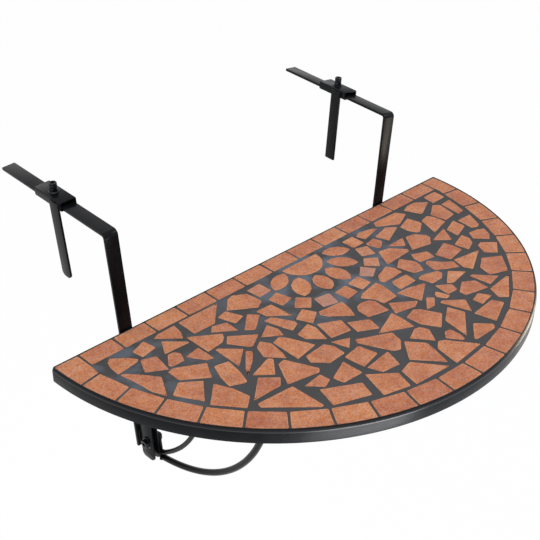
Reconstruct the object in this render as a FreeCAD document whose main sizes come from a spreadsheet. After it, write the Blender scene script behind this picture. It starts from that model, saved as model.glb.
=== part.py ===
import FreeCAD
import Part
import Sketcher
import math
import os

# Balcony railing bar table: a half-round mosaic top in a steel rim, carried by
# two flat-bar hooks that hang over a railing, with a sliding clamp on each hook.
# X runs along the straight edge, -Y is the round front, +Y is over the railing
# and Z is up. The origin is the railing's top front edge, at the middle of the
# straight edge: Y = 0 is the back of the hooks' legs, Z = 0 the underside of
# their arms. Each hook and its stays lean outward by the splay angle, about the
# bolt that holds the hook to its rail. Above the table each leg is twisted, so
# that its arm is turned by a few degrees; the clamp is turned with it.
# Below, y and z are first counted from the rim's back face and the tiles' face,
# and place() moves them to that origin.

doc = FreeCAD.newDocument("balcony_railing_bar_table")
sheet = doc.addObject("Spreadsheet::Sheet", "Sheet")

SIZES = {
    "top_radius": 380.0,
    "rim_height": 21.0,
    "rim_lip": 0.5,
    "rim_wall": 2.0,
    "tile_thickness": 5.0,
    "tile_stand": 1.0,
    "grout_thickness": 9.0,
    "border_width": 31.0,
    "border_gap": 2.5,
    "bar_width": 20.0,
    "bar_thickness": 4.0,
    "left_offset": 259.5,
    "right_offset": 238.0,
    "splay": 4.4,
    "left_turn": 2.2,
    "right_turn": 7.0,
    "twist_length": 110.0,
    "hook_height": 151.0,
    "hook_reach": 244.0,
    "hook_drop": 204.0,
    "bend_radius": 7.0,
    "rail_thickness": 3.0,
    "tab_drop": 28.0,
    "channel_width": 11.0,
    "channel_depth": 29.5,
    "channel_length": 82.0,
    "channel_wall": 2.0,
    "channel_foot": 221.0,
    "pin_drop": 189.0,
    "pin_reach": 16.6,
    "plate_thickness": 4.0,
    "front_stay_diameter": 9.0,
    "rear_stay_diameter": 7.0,
    "front_stay_radius": 288.0,
    "rear_stay_radius": 252.0,
    "front_stay_rise": 5.2,
    "rear_stay_rise": 13.2,
    "front_stay_reach": 249.4,
    "rear_stay_reach": 138.9,
    "bolt_diameter": 8.0,
    "left_clamp_start": 94.0,
    "right_clamp_start": 91.0,
    "sleeve_length": 62.0,
    "sleeve_wall": 2.0,
    "sleeve_corner": 1.8,
    "sleeve_clearance": 0.3,
    "sleeve_room": 8.5,
    "clamp_leg_length": 116.0,
    "clamp_leg_thickness": 3.0,
    "screw_diameter": 6.0,
}
# Each stay is an arc from its foot on the plate to its head under the rail.
# Rise is the foot's height above the bracket's foot, reach the head's distance
# from the straight edge; the arc's centre follows from them and the radius.
FOLLOWING = {
    "stay_start": "=-(channel_depth + 1)",
    "stay_top": "=rim_lip - rim_height - rail_thickness",
}
for end in ("front", "rear"):
    FOLLOWING.update({
        end + "_run": "=-%s_stay_reach - stay_start" % end,
        end + "_climb": "=stay_top + channel_foot - %s_stay_rise" % end,
        end + "_chord": "=sqrt({0}_run ^ 2 + {0}_climb ^ 2)".format(end),
        end + "_sag": "=sqrt({0}_stay_radius ^ 2 - {0}_chord ^ 2 / 4) / {0}_chord".format(end),
        end + "_centre_y": "=stay_start + {0}_run / 2 + {0}_climb * {0}_sag".format(end),
        end + "_centre_z": "=stay_top - {0}_climb / 2 - {0}_run * {0}_sag".format(end),
    })
for row, (alias, value) in enumerate({**SIZES, **FOLLOWING}.items(), start=1):
    sheet.set("A%d" % row, alias)
    sheet.set("B%d" % row, str(value))
    sheet.setAlias("B%d" % row, alias)
doc.recompute()

# The hand-laid chips of the field, as (x, distance from the straight edge).
CHIPS = (
    ((-328, 69), (-327, 52), (-323, 40), (-316, 35), (-298, 50), (-290, 61), (-295, 65)),
    ((-287, 44), (-262, 35), (-259, 57), (-284, 62)),
    ((-250, 40), (-241, 36), (-211, 35), (-214, 53), (-221, 66)),
    ((-246, 51), (-221, 75), (-221, 78), (-260, 76)),
    ((-203, 34), (-135, 35), (-169, 69), (-204, 68)),
    ((-290, 64), (-270, 72), (-272, 84), (-276, 104), (-302, 88)),
    ((-327, 71), (-322, 72), (-306, 90), (-292, 109), (-311, 143), (-319, 124), (-322, 98)),
    ((-258, 79), (-249, 80), (-244, 88), (-250, 103), (-270, 102), (-272, 97)),
    ((-245, 98), (-220, 94), (-220, 125), (-230, 122)),
    ((-217, 66), (-177, 93), (-182, 101), (-190, 107), (-217, 110)),
    ((-281, 107), (-271, 105), (-233, 126), (-243, 143), (-248, 153), (-281, 129)),
    ((-285, 131), (-260, 150), (-285, 181), (-306, 146)),
    ((-232, 137), (-211, 142), (-216, 170), (-222, 188), (-227, 188), (-245, 180), (-241, 160)),
    ((-208, 112), (-203, 113), (-180, 136), (-209, 159)),
    ((-181, 140), (-175, 148), (-189, 162), (-213, 180), (-207, 168)),
    ((-177, 71), (-156, 78), (-157, 102), (-187, 81)),
    ((-177, 101), (-144, 126), (-167, 140), (-172, 138), (-189, 113)),
    ((-158, 61), (-140, 57), (-130, 82), (-149, 88)),
    ((-138, 57), (-119, 38), (-108, 35), (-90, 46), (-87, 73), (-102, 81)),
    ((-124, 82), (-112, 95), (-140, 116), (-152, 107)),
    ((-111, 86), (-84, 87), (-81, 126), (-108, 104)),
    ((-122, 118), (-117, 136), (-122, 150), (-147, 133)),
    ((-119, 109), (-105, 109), (-89, 138), (-90, 144), (-106, 151), (-110, 140)),
    ((-62, 124), (-52, 143), (-75, 158), (-85, 135)),
    ((-50, 144), (-9, 149), (-13, 168), (-21, 184), (-48, 162), (-54, 151)),
    ((-154, 138), (-146, 152), (-150, 176), (-154, 188), (-174, 166), (-166, 145)),
    ((-144, 152), (-129, 148), (-121, 160), (-107, 193), (-145, 199)),
    ((-108, 161), (-81, 153), (-79, 168), (-87, 195), (-108, 175)),
    ((-73, 162), (-42, 178), (-50, 203), (-82, 197)),
    ((-41, 187), (-13, 203), (-19, 226), (-47, 211)),
    ((-11, 199), (-10, 180), (-3, 171), (6, 169), (20, 172), (25, 180), (22, 207)),
    ((15, 161), (26, 155), (61, 149), (62, 165), (56, 192), (29, 192), (27, 176)),
    ((67, 152), (76, 140), (104, 131), (110, 143), (110, 157), (71, 158)),
    ((134, 131), (146, 152), (143, 164), (136, 175), (120, 171), (113, 144)),
    ((156, 135), (181, 146), (177, 163), (150, 158), (150, 146)),
    ((136, 45), (148, 40), (170, 45), (179, 51), (141, 60)),
    ((130, 70), (151, 66), (155, 81), (140, 92), (134, 88)),
    ((157, 65), (190, 57), (205, 69), (164, 87)),
    ((181, 46), (188, 35), (237, 37), (246, 52), (214, 66)),
    ((207, 72), (237, 62), (242, 87), (219, 102), (213, 100), (207, 87)),
    ((252, 42), (268, 36), (285, 37), (303, 51), (268, 68), (263, 67)),
    ((309, 36), (338, 36), (336, 58), (306, 59)),
    ((272, 80), (299, 62), (309, 70), (301, 104), (277, 107)),
    ((312, 70), (334, 69), (321, 107), (307, 108)),
    ((247, 82), (265, 78), (271, 89), (272, 109), (233, 119)),
    ((190, 97), (206, 100), (217, 114), (217, 123), (202, 136), (168, 128)),
    ((149, 96), (186, 95), (170, 114)),
    ((127, 97), (146, 101), (165, 122), (162, 127), (110, 130)),
    ((181, 160), (218, 147), (222, 160), (223, 178), (188, 184)),
    ((253, 120), (235, 150), (230, 147), (212, 131)),
    ((253, 126), (283, 115), (283, 138), (251, 149)),
    ((289, 120), (318, 121), (303, 150), (295, 153), (286, 149)),
    ((226, 161), (257, 151), (258, 166), (250, 177), (230, 185)),
    ((270, 155), (286, 157), (298, 163), (290, 179), (278, 188), (261, 170)),
    ((79, 163), (109, 165), (106, 185), (73, 185), (75, 172)),
    ((61, 187), (82, 189), (112, 198), (72, 223)),
    ((34, 195), (68, 219), (55, 226), (22, 218)),
    ((19, 213), (20, 230), (17, 255), (-30, 232)),
    ((25, 234), (46, 228), (54, 234), (68, 261), (41, 281), (27, 258)),
    ((60, 241), (82, 222), (91, 230), (75, 243)),
    ((-62, 220), (-15, 243), (-20, 262), (-35, 275), (-45, 271), (-66, 227)),
    ((-100, 236), (-69, 232), (-63, 260), (-97, 267)),
    ((-96, 270), (-51, 266), (-60, 294), (-88, 290)),
    ((-134, 201), (-99, 199), (-92, 211), (-93, 231), (-122, 232), (-139, 215)),
    ((-89, 202), (-63, 213), (-81, 228)),
    ((-19, 266), (0, 289), (-4, 305), (-13, 333), (-45, 296)),
    ((-9, 267), (12, 258), (21, 260), (26, 272), (12, 294)),
    ((13, 296), (22, 301), (49, 338), (-7, 342), (0, 306)),
    ((26, 299), (36, 289), (46, 291), (47, 306), (43, 318), (38, 317)),
    ((57, 274), (85, 256), (93, 280), (50, 315)),
    ((86, 243), (92, 241), (118, 262), (101, 286)),
    ((-70, 304), (-48, 299), (-18, 339), (-77, 334)),
    ((-108, 277), (-75, 304), (-84, 331), (-122, 320)),
    ((-170, 259), (-122, 286), (-131, 310), (-180, 291)),
    ((-142, 255), (-108, 241), (-107, 273), (-139, 271)),
    ((-179, 242), (-148, 239), (-146, 255), (-161, 261)),
    ((-243, 227), (-189, 232), (-187, 284), (-192, 284), (-245, 235)),
    ((-255, 162), (-244, 186), (-239, 211), (-257, 225), (-285, 190)),
    ((-208, 191), (-187, 210), (-199, 222), (-242, 220)),
    ((-210, 183), (-172, 171), (-167, 177), (-188, 202)),
    ((-171, 189), (-159, 187), (-139, 230), (-145, 236), (-191, 226)),
    ((112, 184), (122, 181), (149, 190), (149, 198), (139, 206), (117, 206)),
    ((152, 166), (160, 162), (173, 180), (186, 189), (181, 206), (147, 186)),
    ((190, 187), (240, 196), (190, 222), (184, 209)),
    ((249, 187), (260, 184), (278, 201), (254, 220), (240, 206)),
    ((224, 212), (251, 229), (223, 259), (195, 247), (201, 226)),
    ((159, 200), (177, 219), (141, 225), (132, 219)),
    ((115, 211), (136, 225), (131, 239), (111, 238)),
    ((104, 221), (108, 232), (111, 242), (101, 243), (94, 231), (97, 225)),
    ((127, 245), (150, 231), (167, 242), (166, 266), (127, 256)),
    ((171, 229), (177, 230), (202, 258), (175, 263)),
    ((124, 269), (143, 264), (153, 281), (126, 285)),
    ((165, 269), (216, 265), (167, 300), (156, 290)),
    ((99, 290), (143, 287), (151, 303), (106, 322)),
    ((51, 326), (79, 303), (98, 323), (92, 330), (54, 329)),
)
SQUARES = (
    ((-85, 40), (-60, 39), (-59, 63), (-83, 65)),
    ((-79, 77), (-58, 71), (-52, 96), (-75, 101)),
    ((-48, 98), (-32, 114), (-50, 131), (-67, 115)),
    ((-32, 118), (-6, 123), (-13, 147), (-37, 141)),
    ((0, 127), (24, 125), (26, 148), (2, 151)),
    ((30, 124), (54, 121), (57, 144), (34, 149)),
    ((57, 122), (77, 106), (90, 125), (70, 137)),
    ((97, 94), (115, 107), (99, 125), (82, 109)),
    ((108, 68), (128, 74), (121, 98), (100, 89)),
    ((109, 41), (132, 41), (132, 65), (109, 65)),
)
# Each petal: one tip, the other tip, half its width.
PETALS = (
    ((-57, 67), (-15, 44), 12.5),
    ((-36, 105), (-9, 65), 14.5),
    ((4, 118), (13, 77), 14.0),
    ((44, 119), (36, 74), 14.0),
    ((85, 96), (51, 63), 13.0),
    ((103, 63), (63, 43), 12.5),
)
ROSETTE_CENTRE = 21.0
ROSETTE_RADIUS = 35.0
STRAIGHT_TILES = 13
ARC_TILES = 20
FIRST_ARC_JOINT = 8.4
JOINT_GAP = 1.6
YZ_FRAME = FreeCAD.Rotation(
    FreeCAD.Vector(0, 1, 0), FreeCAD.Vector(0, 0, 1), FreeCAD.Vector(1, 0, 0), "XYZ"
)
ALONG_Y = FreeCAD.Rotation(FreeCAD.Vector(1, 0, 0), -90)
ALONG_X = FreeCAD.Rotation(FreeCAD.Vector(0, 1, 0), 90)
scale = SIZES["top_radius"] / 380.0


def bind(obj, **expressions):
    for name, text in expressions.items():
        obj.setExpression(name.replace("_", "."), text)
    return obj


def place(obj, x, y, z, rotation=None):
    obj.Placement = FreeCAD.Placement(FreeCAD.Vector(0, 0, 0), rotation or FreeCAD.Rotation())
    obj.setExpression("Placement.Base.x", x)
    obj.setExpression("Placement.Base.y", "(%s) - Sheet.bar_thickness" % y)
    obj.setExpression("Placement.Base.z", "(%s) - Sheet.hook_height + Sheet.bar_thickness" % z)
    return obj


def lean(obj, side):
    """Turns a finished piece outward by the splay, about its rail bolt."""
    way = 1 if side == "right" else -1
    obj.Placement = FreeCAD.Placement(
        FreeCAD.Vector(0, 0, 0), FreeCAD.Rotation(FreeCAD.Vector(0, way, 0), SIZES["splay"])
    )
    pivot_x = "%d * Sheet.%s_offset" % (way, side)
    pivot_z = "(%s - Sheet.hook_height + Sheet.bar_thickness)" % BOLT_TAB
    turn = "sin(Sheet.splay) * %d" % way
    keep = "(1 - cos(Sheet.splay))"
    obj.setExpression("Placement.Rotation.Angle", "Sheet.splay")
    obj.setExpression("Placement.Base.x", "%s * %s - %s * %s" % (pivot_x, keep, pivot_z, turn))
    obj.setExpression("Placement.Base.z", "%s * %s + %s * %s" % (pivot_z, keep, pivot_x, turn))
    return obj


def turn(obj, side):
    """Turns a finished piece about the upright middle line of its hook's leg."""
    way = 1 if side == "right" else -1
    angle = "Sheet.%s_turn" % side
    middle_x = "%d * Sheet.%s_offset" % (way, side)
    middle_y = "(-Sheet.bar_thickness / 2)"
    obj.Placement = FreeCAD.Placement(
        FreeCAD.Vector(0, 0, 0),
        FreeCAD.Rotation(FreeCAD.Vector(0, 0, -1), SIZES[side + "_turn"]),
    )
    obj.setExpression("Placement.Rotation.Angle", angle)
    obj.setExpression("Placement.Base.x", "%s * (1 - cos(%s)) - %s * sin(%s)" % (
        middle_x, angle, middle_y, angle))
    obj.setExpression("Placement.Base.y", "%s * (1 - cos(%s)) + %s * sin(%s)" % (
        middle_y, angle, middle_x, angle))
    return obj


def box(name, x, y, z, length, width, height):
    obj = doc.addObject("Part::Box", name)
    bind(obj, Length=length, Width=width, Height=height)
    return place(obj, x, y, z)


def cylinder(name, radius, height, x, y, z, rotation=None, angle=360):
    obj = doc.addObject("Part::Cylinder", name)
    obj.Angle = angle
    bind(obj, Radius=radius, Height=height)
    return place(obj, x, y, z, rotation)


def pin(name, radius, centre, way, start, stop, y, z):
    """A cylinder along X, from `start` to `stop` outward of `centre`."""
    low = start if way > 0 else "-(%s)" % stop
    return cylinder(name, radius, "(%s) - (%s)" % (stop, start), centre + " + (%s)" % low,
                    y, z, ALONG_X)


def hexagon(name, flats, height, x, y, z, rotation=None):
    obj = doc.addObject("Part::Prism", name)
    obj.Polygon = 6
    bind(obj, Circumradius="(%s) / 1.7320508" % flats, Height=height)
    return place(obj, x, y, z, rotation)


def cut(name, base, tool):
    obj = doc.addObject("Part::Cut", name)
    obj.Base = base
    obj.Tool = tool
    return obj


def common(name, base, tool):
    obj = doc.addObject("Part::Common", name)
    obj.Base = base
    obj.Tool = tool
    return obj


def fuse(name, pieces):
    obj = doc.addObject("Part::MultiFuse", name)
    obj.Shapes = pieces
    obj.Refine = True
    return obj


def group(name, pieces):
    obj = doc.addObject("Part::Compound", name)
    obj.Links = pieces
    return obj


def half_disc(name, radius, back, z, height):
    """The part of a disc that lies in front of the plane y = -back."""
    disc = cylinder(name + "_disc", radius, height, "0", "0", z)
    front = box(
        name + "_front", "-Sheet.top_radius * 1.1", "-Sheet.top_radius * 1.1", z,
        "Sheet.top_radius * 2.2", "Sheet.top_radius * 1.1 - (%s)" % back, height,
    )
    return common(name, disc, front)


def outlines(name, polygons):
    """A sketch that holds one closed outline for each polygon."""
    sketch = doc.addObject("Sketcher::SketchObject", name)
    for points in polygons:
        ends = [FreeCAD.Vector(u, v, 0) for u, v in points]
        lines = [Part.LineSegment(a, b) for a, b in zip(ends, ends[1:] + ends[:1])]
        first = sketch.GeometryCount
        sketch.addGeometry(lines, False)
        joins = [
            Sketcher.Constraint("Coincident", first + i, 2, first + (i + 1) % len(lines), 1)
            for i in range(len(lines))
        ]
        sketch.addConstraint(joins)
    return sketch


def extrude(name, sketch, length):
    obj = doc.addObject("Part::Extrusion", name)
    obj.Base = sketch
    obj.DirMode = "Normal"
    obj.Solid = True
    obj.FaceMakerClass = "Part::FaceMakerBullseye"
    bind(obj, LengthFwd=length)
    return obj


def tiles(name, polygons):
    sketch = outlines(name + "_outline", polygons)
    place(sketch, "0", "0", "-Sheet.tile_thickness")
    return extrude(name, sketch, "Sheet.tile_thickness")


def from_edge(points):
    return [(x * scale, -distance * scale) for x, distance in points]


def petal(tip, end, half_width, steps=5):
    """A leaf outline: two equal arcs between the tips."""
    middle = [(a + b) / 2 for a, b in zip(tip, end)]
    half = math.dist(tip, end) / 2
    along = [(b - a) / (2 * half) for a, b in zip(tip, end)]
    radius = (half * half + half_width * half_width) / (2 * half_width)
    sweep = math.asin(half / radius)
    points = []
    for side in (1, -1):
        for i in range(steps):
            angle = side * (2 * sweep * i / steps - sweep)
            run = radius * math.sin(angle)
            rise = side * (radius * math.cos(angle) - radius + half_width)
            points.append(
                (middle[0] + along[0] * run - along[1] * rise,
                 middle[1] + along[1] * run + along[0] * rise)
            )
    return points


def straight_border():
    """Tiles along the straight edge, between the two corner tiles."""
    near = SIZES["border_gap"]
    far = SIZES["border_gap"] + SIZES["border_width"] - 2.0
    first = -340.5 * scale
    pitch = 686.0 * scale / STRAIGHT_TILES
    half = JOINT_GAP / 2
    rows = []
    for i in range(STRAIGHT_TILES):
        left = first + i * pitch + half
        right = first + (i + 1) * pitch - half
        skew = 0.5 * math.sin(i * 2.3)
        rows.append(
            [(left + skew, -near), (right + skew, -near), (right - skew, -far), (left, -far)]
        )
    return rows


def arc_border():
    """Tiles round the front: each outer side follows the rim in three steps."""
    outer = SIZES["top_radius"] - SIZES["rim_wall"] - 0.8
    inner = outer - SIZES["border_width"]
    joints = [
        FIRST_ARC_JOINT + i * (180 - 2 * FIRST_ARC_JOINT) / ARC_TILES
        for i in range(ARC_TILES + 1)
    ]

    def at(radius, degrees, shift=0.0):
        angle = math.radians(degrees) + shift / radius
        return (radius * math.cos(angle), -radius * math.sin(angle))

    half = JOINT_GAP / 2
    rows = []
    for start, stop in zip(joints, joints[1:]):
        third = (stop - start) / 3
        rows.append([
            at(inner, start, half), at(outer, start, half), at(outer, start + third),
            at(outer, stop - third), at(outer, stop, -half), at(inner, stop, -half),
        ])
    near = SIZES["border_gap"]
    edge = math.degrees(math.asin(near / outer))
    for side, joint in ((1, joints[0]), (-1, 180 - joints[-1])):
        inside = 345.5 * scale + half if side > 0 else 340.5 * scale + half
        top = at(outer, edge)
        middle = at(outer, (edge + joint) / 2)
        low = at(outer, joint, -half)
        foot = at(inner, joint, -half)
        points = [(inside, -near), top, middle, low, foot, (inside, foot[1] * 0.8)]
        rows.append([(side * x, y) for x, y in points])
    return rows


# The top: rim, board, grout bed and tiles.
rim = cut(
    "rim_band",
    half_disc("rim_outer", "Sheet.top_radius", "0",
              "Sheet.rim_lip - Sheet.rim_height", "Sheet.rim_height"),
    half_disc("rim_inner", "Sheet.top_radius - Sheet.rim_wall", "Sheet.rim_wall",
              "-Sheet.rim_height", "Sheet.rim_height + 5"),
)
board = half_disc(
    "backing_board", "Sheet.top_radius - Sheet.rim_wall", "Sheet.rim_wall",
    "Sheet.rim_lip - Sheet.rim_height",
    "Sheet.rim_height - Sheet.rim_lip - Sheet.tile_stand - Sheet.grout_thickness",
)
arc_tiles = tiles("border_tiles_arc", arc_border())
straight_tiles = tiles("border_tiles_straight", straight_border())
field_chips = tiles("mosaic_chips", [from_edge(c) for c in CHIPS])
half_flower = [
    (ROSETTE_CENTRE + ROSETTE_RADIUS * math.cos(math.radians(a)),
     37.5 + ROSETTE_RADIUS * math.sin(math.radians(a)))
    for a in range(0, 181, 15)
]
petals = tiles(
    "rosette_petals", [from_edge(petal(*p)) for p in PETALS] + [from_edge(half_flower)]
)
squares = tiles("rosette_squares", [from_edge(s) for s in SQUARES])
bed_blank = half_disc(
    "bed_blank", "Sheet.top_radius - Sheet.rim_wall", "Sheet.rim_wall",
    "-Sheet.tile_stand - Sheet.grout_thickness", "Sheet.grout_thickness",
)
pockets = group("pockets", [arc_tiles, straight_tiles, field_chips, petals, squares])
bed = cut("grout_bed", bed_blank, pockets)

UNDERSIDE = "Sheet.rim_lip - Sheet.rim_height"
HALF_BAR = "Sheet.bar_width / 2"
ARM_BASE = "Sheet.hook_height - Sheet.bar_thickness"
BOLT_TAB = UNDERSIDE + " - Sheet.rail_thickness - Sheet.tab_drop / 2"
PIN_Y = "-Sheet.pin_reach"
PIN_Z = "-Sheet.pin_drop"

finished = [rim, board, arc_tiles, straight_tiles, field_chips, petals, squares, bed]
rail_bolts = []
rail_nuts = []
pin_bolts = []
pin_washers = []
pin_nuts = []


def support_rail(side, centre):
    """Flat bar under the board, its rear end turned down in front of the hook."""
    base = UNDERSIDE + " - Sheet.rail_thickness"
    reach = "Sheet.top_radius - 110"
    bar = box("rail_bar_" + side, centre + " - " + HALF_BAR, "-(%s)" % reach, base,
              "Sheet.bar_width", reach, "Sheet.rail_thickness")
    tab = box("rail_tab_" + side, centre + " - " + HALF_BAR, "-Sheet.rail_thickness",
              base + " - Sheet.tab_drop", "Sheet.bar_width", "Sheet.rail_thickness",
              "Sheet.tab_drop + Sheet.rail_thickness")
    hole = cylinder("rail_hole_" + side, "Sheet.bolt_diameter / 2 + 0.2", "20",
                    centre, "-10", BOLT_TAB, ALONG_Y)
    return cut("support_rail_" + side, fuse("rail_blank_" + side, [bar, tab]), hole)


def bar_section(name, side, centre, z):
    """The hook's section, as a sketch across its leg."""
    wide = SIZES["bar_width"] / 2
    thick = SIZES["bar_thickness"] / 2
    sketch = outlines(name, [[(-wide, -thick), (wide, -thick), (wide, thick), (-wide, thick)]])
    return place(sketch, centre, "Sheet.bar_thickness / 2", z,
                 FreeCAD.Rotation(FreeCAD.Vector(0, 0, -1), SIZES[side + "_turn"]))


def hook(side, centre):
    """Flat bar bent once: leg behind the rim, twisted above it, arm over the railing."""
    left = centre + " - " + HALF_BAR
    bend_start = "Sheet.hook_height - Sheet.bend_radius"
    twist_start = bend_start + " - Sheet.twist_length"
    leg = box("leg_" + side, left, "0", "-Sheet.hook_drop", "Sheet.bar_width",
              "Sheet.bar_thickness", "Sheet.hook_drop + " + twist_start)
    low = bar_section("twist_low_" + side, side, centre, twist_start)
    low.setExpression("Placement.Rotation.Angle", "0")
    high = bar_section("twist_high_" + side, side, centre, bend_start)
    high.setExpression("Placement.Rotation.Angle", "Sheet.%s_turn" % side)
    twist = doc.addObject("Part::Loft", "twist_" + side)
    twist.Sections = [low, high]
    twist.Solid = True
    twist.Ruled = True

    arm = box("arm_" + side, left, "Sheet.bend_radius", ARM_BASE, "Sheet.bar_width",
              "Sheet.hook_reach - Sheet.bend_radius", "Sheet.bar_thickness")
    turned = FreeCAD.Rotation(
        FreeCAD.Vector(0, -1, 0), FreeCAD.Vector(0, 0, 1), FreeCAD.Vector(-1, 0, 0), "XYZ"
    )
    corner = (centre + " + " + HALF_BAR, "Sheet.bend_radius", bend_start)
    outer = cylinder("bend_outer_" + side, "Sheet.bend_radius", "Sheet.bar_width",
                     *corner, turned, 90)
    inner = cylinder("bend_inner_" + side, "Sheet.bend_radius - Sheet.bar_thickness",
                     "Sheet.bar_width", *corner, turned, 90)
    over = turn(fuse("over_" + side, [arm, cut("bend_" + side, outer, inner)]), side)
    blank = fuse("hook_blank_" + side, [leg, twist, over])
    hole = cylinder("leg_hole_" + side, "Sheet.bolt_diameter / 2 + 0.2", "20",
                    centre, "-10", BOLT_TAB, ALONG_Y)
    return cut("hook_" + side, blank, hole)


def channel(side, centre):
    """U-section welded to the hook's leg and open at the front."""
    depth = SIZES["channel_depth"]
    low = -SIZES["channel_foot"]
    top = low + SIZES["channel_length"]
    profile = [(0, top), (-depth, top), (-depth, low + 3), (-depth + 3, low)]
    profile += [
        (-7 + 7 * math.sin(math.radians(a)), low + 7 - 7 * math.cos(math.radians(a)))
        for a in (0, 22.5, 45, 67.5)
    ]
    profile += [(0, low + 7)]
    sketch = outlines("channel_outline_" + side, [profile])
    place(sketch, centre + " - Sheet.channel_width / 2", "0", "0", YZ_FRAME)
    blank = extrude("channel_blank_" + side, sketch, "Sheet.channel_width")
    room = box("channel_room_" + side, centre + " - Sheet.channel_width / 2 + Sheet.channel_wall",
               "-Sheet.channel_depth - 5", "-Sheet.channel_foot - 10",
               "Sheet.channel_width - 2 * Sheet.channel_wall",
               "Sheet.channel_depth + 5 - Sheet.channel_wall", "Sheet.channel_length + 30")
    hole = cylinder("channel_hole_" + side, "Sheet.bolt_diameter / 2 + 0.2", "60",
                    centre + " - 30", PIN_Y, PIN_Z, ALONG_X)
    return cut("channel_bracket_" + side, cut("channel_open_" + side, blank, room), hole)


def stay_plate(side, centre, way):
    """Plate on the channel's inner flank that carries the two stays."""
    foot = -SIZES["channel_foot"]
    pin_y, pin_z = -SIZES["pin_reach"], -SIZES["pin_drop"]
    edge = -SIZES["channel_depth"] - 1
    profile = [
        (pin_y + 10.6, pin_z + 11), (pin_y - 5.4, pin_z + 13), (edge, pin_z + 6),
        (edge, foot + 0.5), (edge + 9.5, foot + 0.5), (pin_y + 10.6, pin_z - 11),
    ]
    face = "Sheet.channel_width / 2"
    start = face if way < 0 else "-(%s + Sheet.plate_thickness)" % face
    sketch = outlines("plate_outline_" + side, [profile])
    place(sketch, centre + " + (%s)" % start, "0", "0", YZ_FRAME)
    blank = extrude("plate_blank_" + side, sketch, "Sheet.plate_thickness")
    hole = cylinder("plate_hole_" + side, "Sheet.bolt_diameter / 2 + 0.2", "60",
                    centre + " - 30", PIN_Y, PIN_Z, ALONG_X)
    return cut("stay_plate_" + side, blank, hole)


def torus(name, radius, thickness, x, y, z):
    """A round rod bent from straight down through a quarter turn toward -Y."""
    obj = doc.addObject("Part::Torus", name)
    obj.Angle3 = 90
    bind(obj, Radius1=radius, Radius2=thickness)
    return place(obj, x, y, z, FreeCAD.Rotation(
        FreeCAD.Vector(0, 0, -1), FreeCAD.Vector(0, -1, 0), FreeCAD.Vector(-1, 0, 0), "XYZ",
    ))


def stay(side, end, centre, way, beside=None):
    """One bent stay, from the plate's front edge to the underside of the rail."""
    name = "%s_%s" % (end, side)
    x = centre + " - %d * (Sheet.channel_width + Sheet.plate_thickness) / 2" % way
    bow = torus("bow_" + name, "Sheet.%s_stay_radius" % end, "Sheet.%s_stay_diameter / 2" % end,
                x, "Sheet.%s_centre_y" % end, "Sheet.%s_centre_z" % end)
    behind = box("behind_" + name, x + " - 20", "Sheet.stay_start",
                 "-Sheet.channel_foot - Sheet.front_stay_radius / 2", "40",
                 "Sheet.front_stay_radius", "Sheet.channel_foot + Sheet.front_stay_radius")
    rod = lean(cut("rod_" + name, bow, behind), side)
    above = box("above_" + name, x + " - 60", "-Sheet.top_radius",
                UNDERSIDE + " - Sheet.rail_thickness", "120", "Sheet.top_radius + 200", "200")
    if beside is None:
        return cut("stay_" + name, rod, above)
    return cut("stay_" + name, cut("notched_" + name, rod, beside), above)


def rounded_box(name, x, y, z, length, width, height, radius):
    """A box whose four long edges, along Y, are rounded."""
    pieces = [
        box(name + "_wide", x, y, "%s + %s" % (z, radius), length, width,
            "%s - 2 * %s" % (height, radius)),
        box(name + "_tall", "%s + %s" % (x, radius), y, z, "%s - 2 * %s" % (length, radius),
            width, height),
    ]
    for i, far in enumerate(("0", "%s - 2 * %s" % (length, radius))):
        for j, high in enumerate(("0", "%s - 2 * %s" % (height, radius))):
            pieces.append(cylinder(
                "%s_edge_%d%d" % (name, i, j), radius, width, "%s + %s + %s" % (x, radius, far),
                y, "%s + %s + %s" % (z, radius, high), ALONG_Y))
    return fuse(name, pieces)


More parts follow.
